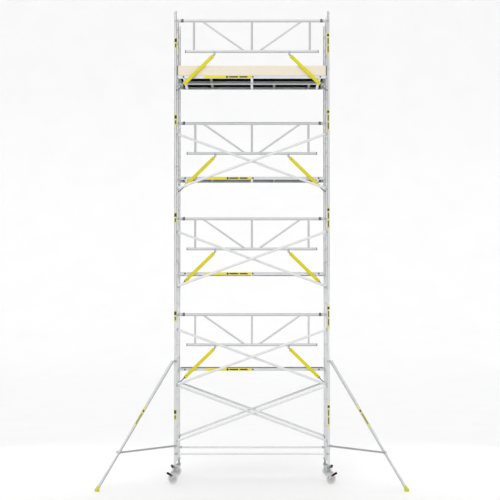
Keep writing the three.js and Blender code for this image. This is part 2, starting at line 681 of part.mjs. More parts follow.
// Level strut from the upright to a clamp on the main tube.
function stabiliserStrutGeometry() {
  const { top, foot } = stabiliserLine();
  const along = foot.clone().sub(top).normalize();
  const t = (top.z - STABILISER_MEET) / (top.z - foot.z);
  const meet = top.clone().lerp(foot, t);
  const inner = resting(STABILISER_RADIUS);
  const from = meet.clone().addScaledVector(along, -CLAMP_HEIGHT / 2);
  const to = meet.clone().addScaledVector(along, CLAMP_HEIGHT / 2);
  const collar = bar(from, to, inner + CLAMP_WALL, ACROSS);
  const ringEdge = point(UPRIGHT_RADIUS + CLAMP_WALL / 2, 0, STABILISER_LOW);
  const strut = bar(ringEdge, meet, STABILISER_STRUT_RADIUS);
  const hole = bar(top, foot, inner, ACROSS);
  const shaftRoom = bar(
    point(0, 0, STABILISER_LOW - CLAMP_HEIGHT),
    point(0, 0, STABILISER_LOW + CLAMP_HEIGHT),
    turning(UPRIGHT_RADIUS),
    ACROSS,
  );
  const solid = cut(join([collar, strut, clampRing(STABILISER_LOW)]), [hole, shaftRoom]);
  const inside = STABILISER_STRUT_RADIUS - STABILISER_WALL;
  return geometryOf(cut(solid, hollow(ringEdge, meet, inside, 2 * CLAMP_HEIGHT)));
}

function addStabilisers() {
  const tube = stabiliserGeometry();
  const strut = stabiliserStrutGeometry();
  for (const [side, sign] of SIDES) {
    const turn = Math.atan2(-STABILISER_FORWARD, sign * STABILISER_OUT);
    place(`stabiliser_tube_${side}`, tube, aluminium(), sign * POST_X, NEAR_Y, 0, turn);
    place(`stabiliser_strut_${side}`, strut, castSteel(), sign * POST_X, NEAR_Y, 0, turn);
  }
}

// ---------------------------------------------------------------- castors

// Fork, swivel head and adjustable leg of a castor that trails along +X.
function forkGeometry() {
  const inner = WHEEL_WIDTH / 2 + CHEEK_GAP;
  const outer = inner + CHEEK_THICKNESS;
  const plateBottom = FORK_TOP - FORK_PLATE;
  const legTop = FRAME_BOTTOM + LEG_IN_UPRIGHT;
  const nutTop = FRAME_BOTTOM - TOUCH_GAP;
  const swivelTop = FORK_TOP + SWIVEL_HEIGHT;
  const cheekOutline = [
    [-SWIVEL_RADIUS, FORK_TOP],
    [-SWIVEL_RADIUS, plateBottom],
    [WHEEL_TRAIL - CHEEK_EDGE, WHEEL_RADIUS - CHEEK_EDGE],
    [WHEEL_TRAIL + CHEEK_EDGE, WHEEL_RADIUS - CHEEK_EDGE],
    [PEDAL_PIVOT_OUT + CHEEK_EDGE, PEDAL_PIVOT_HEIGHT],
    [PEDAL_PIVOT_OUT + CHEEK_EDGE, FORK_TOP],
  ].map(([x, z]) => new THREE.Vector2(x, z));
  const cheekMiddle = (inner + outer) / 2;
  return geometryOf(join([
    plateXZ(cheekOutline, CHEEK_THICKNESS, cheekMiddle),
    plateXZ(cheekOutline, CHEEK_THICKNESS, -cheekMiddle),
    box(-SWIVEL_RADIUS, SWIVEL_RADIUS, -outer, outer, plateBottom, FORK_TOP),
    bar(point(0, 0, FORK_TOP - STEP), point(0, 0, swivelTop), SWIVEL_RADIUS, ACROSS),
    bar(point(0, 0, FORK_TOP), point(0, 0, legTop), LEG_RADIUS, ACROSS),
    bar(point(0, 0, nutTop - NUT_HEIGHT), point(0, 0, nutTop), NUT_RADIUS, ACROSS),
    bar(
      point(WHEEL_TRAIL, -outer - PIN_PROUD, WHEEL_RADIUS),
      point(WHEEL_TRAIL, outer + PIN_PROUD, WHEEL_RADIUS),
      AXLE_RADIUS,
    ),
    ...[-1, 1].map((side) => bar(
      point(PEDAL_PIVOT_OUT, side * cheekMiddle, PEDAL_PIVOT_HEIGHT),
      point(PEDAL_PIVOT_OUT, side * (outer + PEDAL_ARM_THICKNESS + PIN_PROUD), PEDAL_PIVOT_HEIGHT),
      PIN_RADIUS,
    )),
  ]));
}

// Wheel on an axle through the origin along Y, standing on one of its flats.
function wheelGeometry() {
  const half = WHEEL_WIDTH / 2;
  const bore = AXLE_RADIUS + AXLE_CLEARANCE;
  const profile = [
    [bore, -half],
    [WHEEL_CORNER - CHEEK_THICKNESS, -half],
    [WHEEL_CORNER, -half / 2],
    [WHEEL_CORNER, half / 2],
    [WHEEL_CORNER - CHEEK_THICKNESS, half],
    [bore, half],
    [bore, -half],
  ].map(([r, y]) => new THREE.Vector2(r, y));
  const geometry = new THREE.LatheGeometry(profile, WHEEL_SEGMENTS);
  geometry.rotateY(Math.PI / WHEEL_SEGMENTS);
  return geometryOf(solidOf(geometry));
}

// Brake pedal on two pins of the fork at the origin: arms outside the fork, tread past the wheel.
function pedalGeometry() {
  const inner = WHEEL_WIDTH / 2 + CHEEK_GAP + CHEEK_THICKNESS + SWIVEL_GAP;
  const outer = inner + PEDAL_ARM_THICKNESS;
  const tread = PEDAL_TREAD_THICKNESS / 2;
  const pieces = [box(PEDAL_TREAD_START, PEDAL_TREAD_END, -outer, outer, -tread, tread)];
  for (const [y0, y1] of [[-outer, -inner], [inner, outer]]) {
    pieces.push(box(-PEDAL_ARM_HALF, PEDAL_TREAD_END, y0, y1, -PEDAL_ARM_HALF, PEDAL_ARM_HALF));
  }
  const reach = outer + STEP;
  const hole = bar(point(0, -reach, 0), point(0, reach, 0), turning(PIN_RADIUS));
  return geometryOf(join(pieces).subtract(hole).rotate(0, -PEDAL_SLOPE, 0));
}

function addCastors() {
  const fork = forkGeometry();
  const wheel = wheelGeometry();
  const pedal = pedalGeometry();
  for (const [side, sign] of SIDES) {
    const turn = sign > 0 ? 0 : Math.PI;
    const x = sign * POST_X;
    for (const [row, y] of [['near', NEAR_Y], ['far', FAR_Y]]) {
      const corner = `${row}_${side}`;
      place(`castor_fork_${corner}`, fork, castSteel(), x, y, 0, turn);
      place(`castor_wheel_${corner}`, wheel, paleTyre(), x + sign * WHEEL_TRAIL, y, WHEEL_RADIUS);
      const pedalX = x + sign * PEDAL_PIVOT_OUT;
      place(`brake_pedal_${corner}`, pedal, blackPlastic(), pedalX, y, PEDAL_PIVOT_HEIGHT, turn);
    }
  }
}

// ---------------------------------------------------------------- assembly

// Moves the tower so that the origin lies on the ground in the middle of its footprint.
function centreOnGround() {
  const bounds = new THREE.Box3().setFromObject(tower, true);
  const middle = bounds.getCenter(new THREE.Vector3());
  tower.position.set(-middle.x, -middle.y, 0);
}

addFrames();
addPlatforms();
addToeBoard();
addGuardrails();
addBraces();
addStabilisers();
addCastors();
centreOnGround();

export default tower;
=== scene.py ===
from math import cos, pi, radians, sin

import bpy
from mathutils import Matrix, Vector


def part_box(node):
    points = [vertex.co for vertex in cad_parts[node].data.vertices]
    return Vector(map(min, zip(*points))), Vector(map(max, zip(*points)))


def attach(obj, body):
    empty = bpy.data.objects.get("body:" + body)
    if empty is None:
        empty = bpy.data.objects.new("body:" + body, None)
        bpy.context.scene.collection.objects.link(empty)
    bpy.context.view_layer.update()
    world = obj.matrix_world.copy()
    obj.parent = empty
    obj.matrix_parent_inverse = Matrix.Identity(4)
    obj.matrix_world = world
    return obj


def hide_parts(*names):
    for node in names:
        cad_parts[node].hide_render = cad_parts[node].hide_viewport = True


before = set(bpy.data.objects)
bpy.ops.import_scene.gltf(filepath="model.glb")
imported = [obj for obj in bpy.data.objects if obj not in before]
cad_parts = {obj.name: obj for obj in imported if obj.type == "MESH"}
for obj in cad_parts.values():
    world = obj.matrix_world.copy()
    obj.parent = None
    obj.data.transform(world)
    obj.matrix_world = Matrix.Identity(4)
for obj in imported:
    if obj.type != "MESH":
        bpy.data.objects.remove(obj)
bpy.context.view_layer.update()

# Every piece of the tower is built here in metres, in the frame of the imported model: X along the
# tower, Y away from the side with the stabilisers, Z up. Places come from the CAD nodes' boxes.

X_AXIS = Vector((1, 0, 0))
Y_AXIS = Vector((0, 1, 0))
Z_AXIS = Vector((0, 0, 1))
SIDES = (("left", -1), ("right", 1))
LEVELS = (1, 2, 3, 4)


# ------------ sizes read from the frame

def middle(node):
    low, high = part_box(node)
    return (Vector(low) + Vector(high)) / 2


def size(node):
    low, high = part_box(node)
    return Vector(high) - Vector(low)


UPRIGHT_RADIUS = size("frame_left_1").x / 2
POST_X = middle("frame_right_1").x
CENTRE_Y = middle("frame_left_1").y
# the outer stiles' corners lie a hexagon's flat away from their centres
STILE_SPACING = size("frame_left_1").y / 2 - UPRIGHT_RADIUS * cos(pi / 6)
NEAR_Y = CENTRE_Y - STILE_SPACING
FAR_Y = CENTRE_Y + STILE_SPACING
FRAME_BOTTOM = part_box("frame_left_1")[0][2]
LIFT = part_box("frame_left_2")[0][2] - FRAME_BOTTOM
RUNGS_PER_FRAME = 7
RUNG_PITCH = LIFT / RUNGS_PER_FRAME
SPIGOT = 0.1

RUNG_RADIUS = 0.0145
BRACE_RADIUS = 0.024
BASE_RAIL_RADIUS = 0.021
RAIL_RADIUS = 0.0287
GUARD_POST_RADIUS = 0.022
GUARD_DIAGONAL_RADIUS = 0.0195
CLAW_WALL = 0.006
TOUCH = 0.0006
RAIL_SHORT = 0.02

EASED_RIM = 0.0008
SHARP_FROM = 38
WELD_STEPS = 18
RUNG_RIBS = 14
RIB_DEPTH = 0.0009
CLIP_WIRE = 0.002
CLIP_ABOVE_TUBE = 0.045

BAR_LIFT = 0.0011
# each side's labels: length, lift above the frame's middle, and for each bar its height above the
# label's middle, its length and its width round the tube
UPRIGHT_LABELS = {
    "left": (0.25, 0.01, ((0.055, 0.07, 0.055), (-0.05, 0.07, 0.022))),
    "right": (0.49, 0.0, ((0.17, 0.05, 0.046), (0.05, 0.12, 0.018), (-0.11, 0.13, 0.018))),
}


def rung_height(n):
    return FRAME_BOTTOM + RUNG_PITCH * (n + 0.5)


def platform_rung(level):
    return rung_height(RUNGS_PER_FRAME * level - 1)


# ------------ mesh code

def frame_axes(axis, side):
    """Unit vectors along an axis and square to it, the second as near `side` as it can be."""
    along = Vector(axis).normalized()
    across = Vector(side) - along * Vector(side).dot(along)
    if across.length < 1e-6:
        across = along.orthogonal()
    across.normalize()
    return along, across, along.cross(across)


def spokes(u, v, count):
    """Unit vectors spread evenly round a circle, from u towards v."""
    return [u * cos(t) + v * sin(t) for t in (2 * pi * i / count for i in range(count))]


def arc(wide, tall, start, stop, step, lift=0.0):
    """Points on an ellipse, every `step` degrees from start to stop."""
    turns = [radians(a) for a in range(start, stop + 1, step)]
    return [(wide * cos(t), lift + tall * sin(t)) for t in turns]


def mirrored(outline, sign):
    """An outline as it is, or for sign -1 its mirror image with the same sense of turning."""
    return outline if sign > 0 else [(-a, b) for a, b in reversed(outline)]


def placed(name, data):
    """New object for a mesh, lamp or camera, linked to the scene."""
    made = bpy.data.objects.new(name, data)
    bpy.context.scene.collection.objects.link(made)
    return made


class Piece:
    """Points and faces of one visible piece, each face with the number of its material."""

    def __init__(self, name, body, *materials):
        self.name = name
        self.body = body
        self.materials = materials
        self.points = []
        self.faces = []
        self.paint = []

    def add(self, points, faces, paint=0):
        first = len(self.points)
        self.points.extend(points)
        self.faces.extend(tuple(first + i for i in face) for face in faces)
        self.paint.extend([paint] * len(faces))

    def rings(self, rings, paint=0, closed=False, caps=True):
        """Skin over rings of points; the ends are capped unless the last ring meets the first."""
        sides = len(rings[0])
        points = [p for ring in rings for p in ring]
        faces = []
        count = len(rings) if closed else len(rings) - 1
        for r in range(count):
            a = r * sides
            b = ((r + 1) % len(rings)) * sides
            for i in range(sides):
                j = (i + 1) % sides
                faces.append((a + i, a + j, b + j, b + i))
        if caps and not closed:
            faces.append(tuple(reversed(range(sides))))
            last = (len(rings) - 1) * sides
            faces.append(tuple(last + i for i in range(sides)))
        self.add(points, faces, paint)

    def lathe(self, origin, axis, profile, paint=0, sides=24, closed=False):
        """Turned shape: profile holds (radius, distance along the axis) from one end to the other."""
        along, u, v = frame_axes(axis, X_AXIS)
        around = spokes(u, v, sides)
        self.rings([[origin + along * h + d * r for d in around] for r, h in profile], paint, closed)

    def tube(self, start, end, radius, paint=0, sides=20, bore=0.0):
        """Round tube with eased ends; with a bore, its ends show the hollow."""
        length = (end - start).length
        rim = radius - EASED_RIM
        profile = [(rim, 0), (radius, EASED_RIM), (radius, length - EASED_RIM), (rim, length)]
        if bore:
            deep = min(0.05, length / 3)
            profile += [(bore, length), (bore, length - deep), (bore, deep), (bore, 0)]
        self.lathe(start, end - start, profile, paint, sides, closed=bool(bore))

    def prism(self, outline, origin, u, v, depth, paint=0, edge=0.001):
        """Plate of an outline in the plane of u and v, centred on origin, with chamfered rims."""
        w = u.cross(v)
        centre = sum((Vector(p) for p in outline), Vector((0, 0))) / len(outline)

        def ring(inset, height):
            points = []
            for p in outline:
                q = Vector(p)
                pull = q - centre
                if pull.length > 1e-9:
                    q = q - pull.normalized() * inset
                points.append(origin + u * q.x + v * q.y + w * height)
            return points

        half = depth / 2
        self.rings(
            [ring(edge, -half), ring(0, edge - half), ring(0, half - edge), ring(edge, half)], paint
        )

    def block(self, low, high, paint=0, edge=0.0015):
        """Box with chamfered edges, square to the axes."""
        low, high = Vector(low), Vector(high)
        centre = (low + high) / 2
        half = (high - low) / 2
        edge = min(edge, min(half) * 0.6)
        x, y = half.x, half.y
        outline = [(x - edge, -y), (x, edge - y), (x, y - edge), (x - edge, y),
                   (edge - x, y), (-x, y - edge), (-x, edge - y), (edge - x, -y)]
        self.prism(outline, centre, X_AXIS, Y_AXIS, 2 * half.z, paint, edge)

    def claw(self, at, axis, mouth, radius, wall, width, wrap=250, paint=0, steps=14):
        """Open ring round a tube: axis along it, mouth facing `mouth`, rounded lips."""
        along, m, n = frame_axes(axis, mouth)
        half = radians(wrap) / 2
        middle_radius = radius + wall / 2
        rings = []
        for i in range(steps + 1):
            t = pi - half + 2 * half * i / steps
            lip = 0.72 if i in (0, steps) else 1.0
            out = m * cos(t) + n * sin(t)
            centre = at + out * middle_radius
            rings.append(rounded_section(centre, out, along, wall * lip, width * lip))
        self.rings(rings, paint)

    def strip(self, at, along, out, width, length, radius, paint=0, lift=0.0006):
        """Thin label wrapped round the front of a tube."""
        reach = width / 2 / radius
        side = along.cross(out)
        steps = 6
        rings = []
        for i in range(steps + 1):
            t = reach * (2 * i / steps - 1)
            d = out * cos(t) + side * sin(t)
            inner, outer = radius + 0.0001, radius + lift
            a, b = at - along * length / 2, at + along * length / 2
            rings.append([a + d * inner, a + d * outer, b + d * outer, b + d * inner])
        self.rings(rings, paint)

    def bolt(self, at, axis, radius=0.007, height=0.005, paint=0):
        """Hexagon head on a washer, standing on a surface along `axis`."""
        self.lathe(at, axis, [(radius * 1.4, 0), (radius * 1.4, 0.0012)], paint, 16)
        head = [(radius, 0.0012), (radius, height - 0.001), (radius * 0.85, height)]
        self.lathe(at, axis, head, paint, 6)

    def build(self, node=None):
        """Make the mesh object; a piece that takes the place of a CAD node names it."""
        mesh = bpy.data.meshes.new(self.name)
        mesh.from_pydata([tuple(p) for p in self.points], [], self.faces)
        for m in self.materials:
            mesh.materials.append(m)
        for polygon, index in zip(mesh.polygons, self.paint):
            polygon.material_index = index
            polygon.use_smooth = True
        mesh.validate()
        mesh.set_sharp_from_angle(angle=radians(SHARP_FROM))
        made = placed(self.name, mesh)
        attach(made, self.body)
        if node:
            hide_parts(node)


def rounded_section(centre, u, v, width, height, steps=3):
    """Ring of points round a rectangle with rounded corners, in the plane of u and v."""
    r = min(width, height) * 0.3
    points = []
    for cx, cy, start in ((1, 1, 0), (-1, 1, 90), (-1, -1, 180), (1, -1, 270)):
        for i in range(steps):
            t = radians(start + 90 * i / (steps - 1))
            x = cx * (width / 2 - r) + r * cos(t)
            y = cy * (height / 2 - r) + r * sin(t)
            points.append(centre + u * x + v * y)
    return points


def weld(piece, at, axis, radius, paint=0, bead=0.0035):
    """Bead of weld round the end of a tube where it meets another."""
    along, u, v = frame_axes(axis, Z_AXIS)
    rings = []
    for i, d in enumerate(spokes(u, v, WELD_STEPS)):
        wave = bead * (0.85 + 0.15 * cos(6 * 2 * pi * i / WELD_STEPS))
        rings.append([at + d * radius + k * wave for k in spokes(d, along, 5)])
    piece.rings(rings, paint, closed=True)


# ------------ materials

class Nodes:
    """Short way to write a node tree."""

    def __init__(self, tree):
        self.tree = tree

    def feed(self, socket, value):
        """Link another node's output, or set a plain value; a colour gets its alpha here."""
        if isinstance(value, bpy.types.NodeSocket):
            self.tree.links.new(value, socket)
        else:
            socket.default_value = (*value, 1) if socket.type == "RGBA" else value

    def node(self, kind, inputs, **settings):
        made = self.tree.nodes.new(kind)
        for key, value in settings.items():
            setattr(made, key, value)
        for key, value in inputs.items():
            self.feed(made.inputs[key], value)
        return made

    def levels(self, value, low, high, start=0.0, end=1.0):
        """Value mapped from start..end to low..high."""
        inputs = {"Value": value, "From Min": start, "From Max": end, "To Min": low, "To Max": high}
        return self.node("ShaderNodeMapRange", inputs).outputs["Result"]


class Material(Nodes):
    """Principled material under way; `patched` and `clouded` are the mixtures that most share."""

    def __init__(self, name):
        self.material = bpy.data.materials.new(name)
        self.material.use_nodes = True
        super().__init__(self.material.node_tree)
        self.shader = self.tree.nodes["Principled BSDF"].inputs
        self.position = self.node("ShaderNodeTexCoord", {}).outputs["Object"]

    def stretched(self, *scale):
        inputs = {"Scale": scale, "Vector": self.position}
        return self.node("ShaderNodeMapping", inputs).outputs["Vector"]

    def noise(self, vector, scale, detail=4.0, rough=0.55):
        inputs = {"Scale": scale, "Detail": detail, "Roughness": rough, "Vector": vector}
        return self.node("ShaderNodeTexNoise", inputs).outputs["Fac"]

    def waves(self, way, scale, distortion):
        inputs = {"Scale": scale, "Distortion": distortion, "Vector": self.position}
        made = self.node("ShaderNodeTexWave", inputs, wave_type="BANDS", bands_direction=way)
        return made.outputs["Fac"]

    def ramp(self, value, *stops):
        made = self.node("ShaderNodeValToRGB", {"Fac": value})
        elements = made.color_ramp.elements
        while len(elements) < len(stops):
            elements.new(0.5)
        for element, (place, color) in zip(elements, stops):
            element.position = place
            element.color = (*color, 1)
        return made.outputs["Color"]

    def clouded(self, value, tint, part):
        return self.ramp(value, (0.3, shade(tint, part)), (0.7, tint))

    def patched(self, base, patch, most, value, start, end):
        """Base colour that turns to the patch colour where value goes from start to end."""
        factor = self.levels(value, 0.0, most, start, end)
        return self.node("ShaderNodeMix", {0: factor, 6: base, 7: patch}, data_type="RGBA").outputs[2]

    def bump(self, height, strength, distance):
        inputs = {"Strength": strength, "Distance": distance, "Height": height}
        self.feed(self.shader["Normal"], self.node("ShaderNodeBump", inputs).outputs["Normal"])

    def surface(self, color, rough, metal=0.0, **others):
        """Finish the material; others are inputs of the shader, with _ for a space."""
        inputs = {"Base_Color": color, "Roughness": rough, "Metallic": metal, **others}
        for key, value in inputs.items():
            self.feed(self.shader[key.replace("_", " ")], value)
        return self.material


def shade(tint, part):
    return tuple(c * part for c in tint)


def drawn_aluminium(name, tint, stretch, metal=0.6, gloss=0.34):
    """Mill-finish tube: fine draw lines along its length, cloudy oxide, a few dull scuffs."""
    n = Material(name)
    lines = n.noise(n.stretched(*stretch), 90.0, 3.0)
    scuffs = n.noise(n.position, 38.0, 6.0, 0.7)
    base = n.clouded(n.noise(n.position, 7.0), tint, 0.93)
    marked = n.patched(base, shade(tint, 0.72), 0.5, scuffs, 0.62, 0.78)
    n.bump(lines, 0.12, 0.0004)
    return n.surface(marked, n.levels(lines, gloss, gloss + 0.16, 0.3, 0.7), metal)


def cast_alloy(name, tint, metal=0.7):
    """Sand-cast or plated fitting: pitted, darker in the hollows."""
    n = Material(name)
    pits = n.noise(n.position, 260.0, 5.0, 0.6)
    base = n.clouded(n.noise(n.position, 18.0, 3.0), tint, 0.85)
    pitted = n.patched(base, shade(tint, 0.55), 0.55, pits, 0.45, 0.75)
    n.bump(pits, 0.35, 0.0006)
    return n.surface(pitted, n.levels(pits, 0.38, 0.62), metal)


def powder_coat(name, tint, dark):
    """Thick satin paint with orange peel and rubbed patches."""
    n = Material(name)
    wear = n.noise(n.position, 24.0, 7.0, 0.68)
    base = n.clouded(n.noise(n.position, 6.0), tint, 0.94)
    rubbed = n.patched(base, dark, 0.6, wear, 0.63, 0.76)
    n.bump(n.noise(n.position, 420.0, 2.0), 0.15, 0.0003)
    return n.surface(rubbed, n.levels(wear, 0.45, 0.6), Specular_IOR_Level=0.25)


def moulded(name, tint, rough=0.5, grain=300.0, gloss=0.5, dusty=0.03):
    """Moulded plastic or rubber with a fine grain and dusty high spots."""
    n = Material(name)
    fine = n.noise(n.position, grain, 3.0)
    dust = n.noise(n.position, 16.0, 5.0, 0.65)
    base = n.ramp(fine, (0.3, tint), (0.8, shade(tint, 0.88)))
    lighter = tuple(min(1.0, c * 1.25 + dusty) for c in tint)
    dusted = n.patched(base, lighter, 0.6, dust, 0.5, 0.75)
    n.bump(fine, 0.25, 0.0004)
    return n.surface(dusted, n.levels(dust, rough - 0.08, rough + 0.1), Specular_IOR_Level=gloss)


def film_plywood(name):
    """Phenolic-faced anti-slip deck: dark brown film with a pressed wire-mesh pattern."""
    n = Material(name)
    wires = {i: n.waves(way, 55.0, 0.4) for i, way in enumerate("XY")}
    mesh = n.node("ShaderNodeMath", wires, operation="MULTIPLY").outputs[0]
    worn = n.noise(n.stretched(0.6, 1, 1), 5.0, 6.0, 0.65)
    base = n.ramp(mesh, (0.0, (0.035, 0.026, 0.022)), (0.8, (0.085, 0.062, 0.05)))
    scuffed = n.patched(base, (0.14, 0.115, 0.1), 0.75, worn, 0.5, 0.72)
    n.bump(mesh, 0.6, 0.0015)
    return n.surface(scuffed, n.levels(worn, 0.45, 0.7))


def birch_plywood(name):
    """Sealed birch face: long soft grain, warm tint."""
    n = Material(name)
    grain = n.noise(n.stretched(1.2, 14, 9), 11.0, 9.0, 0.62)
    bands = n.noise(n.stretched(0.35, 3, 2.2), 6.0, 3.0)
    base = n.ramp(grain, (0.28, (0.78, 0.68, 0.53)), (0.55, (0.87, 0.8, 0.68)),
                  (0.75, (0.9, 0.84, 0.74)))
    banded = n.patched(base, (0.82, 0.73, 0.58), 0.6, bands, 0.35, 0.7)
    n.bump(grain, 0.2, 0.0005)
    return n.surface(banded, n.levels(grain, 0.42, 0.6), Coat_Weight=0.1, Coat_Roughness=0.25)


def ply_edge(name):
    """Cut edge of plywood: thin light and dark plies, one above the other."""
    n = Material(name)
    plies = n.waves("DIAGONAL", 110.0, 1.2)
    speckle = n.noise(n.position, 160.0)
    base = n.ramp(plies, (0.3, (0.24, 0.15, 0.09)), (0.7, (0.55, 0.42, 0.28)))
    speckled = n.patched(base, (0.2, 0.14, 0.1), 0.4, speckle, 0.0, 1.0)
    n.bump(plies, 0.3, 0.0006)
    return n.surface(speckled, n.levels(speckle, 0.6, 0.85))


PALE_TINT = (0.77, 0.775, 0.785)
RAIL_TINT = (0.66, 0.665, 0.68)

aluminium_z = drawn_aluminium("aluminium_upright", (0.78, 0.786, 0.798), (1, 1, 0.02), 0.75, 0.3)
stabiliser_tube = drawn_aluminium("stabiliser_tube", (0.6, 0.606, 0.62), (1, 1, 0.02), 0.8, 0.28)
aluminium_x = drawn_aluminium("aluminium_rail", RAIL_TINT, (0.02, 1, 1), 0.4)
aluminium_brace = drawn_aluminium("aluminium_brace", PALE_TINT, (0.02, 1, 0.3), 0.3)
aluminium_deck_rail = drawn_aluminium("aluminium_deck_rail", (0.66, 0.67, 0.685), (0.02, 1, 1), 0.8)
aluminium_member = drawn_aluminium("aluminium_member", PALE_TINT, (1, 0.02, 1), 0.6)
casting = cast_alloy("cast_fitting", (0.6, 0.61, 0.62), 0.6)
zinc = cast_alloy("zinc_steel", (0.5, 0.51, 0.52), 0.85)
dark_steel = cast_alloy("dark_steel", (0.2, 0.2, 0.21), 0.8)
weld_metal = cast_alloy("weld_bead", (0.74, 0.75, 0.76))
grey_tube = drawn_aluminium("grey_tube", (0.5, 0.51, 0.53), (0.05, 0.05, 1), 0.85)
yellow = powder_coat("yellow_coat", (0.76, 0.68, 0.015), (0.55, 0.48, 0.02))
label_yellow = powder_coat("label_yellow", (0.84, 0.77, 0.02), (0.66, 0.58, 0.03))
label_black = moulded("label_black", (0.03, 0.03, 0.032), 0.45)
black_plastic = moulded("black_plastic", (0.035, 0.033, 0.033), 0.5)
red_plastic = moulded("red_plastic", (0.055, 0.002, 0.008), 0.6, 300.0, 0.08, 0.002)
tyre = moulded("pale_tyre", (0.74, 0.735, 0.71), 0.55, 180.0)
wheel_core = moulded("wheel_core", (0.6, 0.6, 0.585), 0.45, 120.0)
foot_rubber = moulded("foot_rubber", (0.62, 0.62, 0.07), 0.6, 160.0)
deck_face = film_plywood("deck_face")
deck_edge = ply_edge("deck_edge")
deck_under = moulded("deck_under", (0.004, 0.004, 0.0045), 0.9, 90.0, 0.0, 0.006)
birch = birch_plywood("birch_face")


# ------------ ladder frames

def ribbed_rung(piece, start, end, paint=0):
    """Rung tube with fine anti-slip ribs along it."""
    _, u, v = frame_axes(end - start, Z_AXIS)
    around = enumerate(spokes(u, v, 2 * RUNG_RIBS))
    corners = [d * (RUNG_RADIUS - RIB_DEPTH * (i % 2)) for i, d in around]
    piece.rings([[p + d for d in corners] for p in (start, end)], paint)


def spring_clip(piece, at, out):
    """Wire clip that locks a spigot: a loop round the tube with a short pin through it."""
    side = Z_AXIS.cross(out)
    rings = []
    steps = 16
    for i in range(steps + 1):
        t = radians(-115 + 230 * i / steps)
        d = out * cos(t) + side * sin(t)
        centre = at + d * (UPRIGHT_RADIUS + 0.0035)
        rings.append([centre + k * CLIP_WIRE for k in spokes(d, Z_AXIS, 6)])
    piece.rings(rings)
    piece.lathe(at + out * (UPRIGHT_RADIUS - 0.001), out,
                [(0.0042, 0), (0.0042, 0.009), (0.0028, 0.0105)], 0, 12)


def build_frame(node, side_sign):
    """One ladder frame: three stiles with spigots, ribbed rungs, weld beads and locking clips."""
    low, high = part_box(node)
    x = (low[0] + high[0]) / 2
    bottom, top = low[2], high[2] - SPIGOT
    tubes = Piece(node + "_tubes", "tower", aluminium_z, aluminium_member, weld_metal)
    clips = Piece(node + "_clips", "tower", zinc)
    neck = UPRIGHT_RADIUS - 0.0034
    hollow = neck - 0.0065
    for y in (NEAR_Y, CENTRE_Y, FAR_Y):
        foot, head = Vector((x, y, bottom)), Vector((x, y, top))
        tubes.tube(foot, head, UPRIGHT_RADIUS, 0, 28, UPRIGHT_RADIUS - 0.0026)
        tubes.lathe(head - Z_AXIS * 0.003, Z_AXIS, [
            (neck, 0), (neck, SPIGOT - 0.012), (neck - 0.004, SPIGOT + 0.0025),
            (hollow, SPIGOT + 0.003), (hollow, SPIGOT - 0.06), (hollow, 0),
        ], 0, 28, closed=True)
        spring_clip(clips, head + Z_AXIS * CLIP_ABOVE_TUBE, X_AXIS * side_sign)
    for n in range(round((top - bottom) / RUNG_PITCH)):
        z = bottom + (n + 0.5) * RUNG_PITCH
        for a, b in ((NEAR_Y, CENTRE_Y), (CENTRE_Y, FAR_Y)):
            start = Vector((x, a + UPRIGHT_RADIUS - 0.002, z))
            end = Vector((x, b - UPRIGHT_RADIUS + 0.002, z))
            ribbed_rung(tubes, start, end, 1)
            for toe in (start + Y_AXIS * 0.003, end - Y_AXIS * 0.003):
                weld(tubes, toe, Y_AXIS, RUNG_RADIUS + 0.001, 2)
    tubes.build(node)
    clips.build(node)


def build_frames():
    """Frames with yellow labels round their near uprights, which carry plain black bars."""
    for side, sign in SIDES:
        length, lift, bars = UPRIGHT_LABELS[side]
        for n in (*LEVELS, "top"):
            node = f"frame_{side}_{n}"
            build_frame(node, sign)
            low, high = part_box(node)
            at = Vector((sign * POST_X, NEAR_Y, (low[2] + high[2] - SPIGOT) / 2 + lift))
            label = Piece(node + "_label", "tower", label_yellow, label_black)
            label.strip(at, Z_AXIS, -Y_AXIS, 0.079, length, UPRIGHT_RADIUS)
            for offset, bar, width in bars:
                label.strip(at + Z_AXIS * offset, Z_AXIS, -Y_AXIS, width, bar, UPRIGHT_RADIUS, 1,
                            BAR_LIFT)
            label.build()


# ------------ platforms

DECK_RAIL_HEIGHT = 0.06
RAIL_ABOVE_RUNG = 0.01
RAIL_END = 0.045
DECK_THICKNESS = 0.01
HATCH_GAP = 0.003
MEMBER_AT = 1.36
MEMBER_HALF = 0.025
HOOK_INSET = 0.045
PLUG_HEIGHT = 0.03
RIVETS = 13


def deck_rail(piece, half, y, outward, bottom, top):
    """Extruded side rail: closed box with a grooved outer face and a lip under the deck."""
    tall = top - bottom
    profile = [
        (0, 0), (0.03, 0), (0.03, 0.004), (0.024, 0.006), (0.024, tall - 0.0102),
        (0.0035, tall - 0.0102), (0.0035, tall), (0.0, tall), (0, tall - 0.009),
        (0.0016, tall - 0.012), (0.0016, 0.036), (0, 0.0335),
        (0, 0.0265), (0.0016, 0.024), (0.0016, 0.012), (0, 0.0095),
    ]
    piece.rings([[Vector((x, y - outward * d, bottom + h)) for d, h in profile]
                 for x in (-half, -half + 0.001, half - 0.001, half)])


def platform_hook(piece, x_rung, y, z_rung, sign):
    """Cast hook over a rung."""
    r = RUNG_RADIUS + TOUCH
    outline = [(-0.07, 0.012), (-0.07, 0.03), (-0.02, 0.032), (0.004, 0.0315), (0.016, 0.026),
               (0.0225, 0.014), (0.0235, -0.0065), (r + 0.0005, -0.0075), *arc(r, r, 0, 180, 15),
               (-r - 0.0005, -0.0075), (-0.026, -0.006), (-0.032, 0.011)]
    piece.rings([[Vector((x_rung + sign * a, y + w, z_rung + b)) for a, b in outline]
                 for w in (-0.018, -0.017, 0.017, 0.018)])


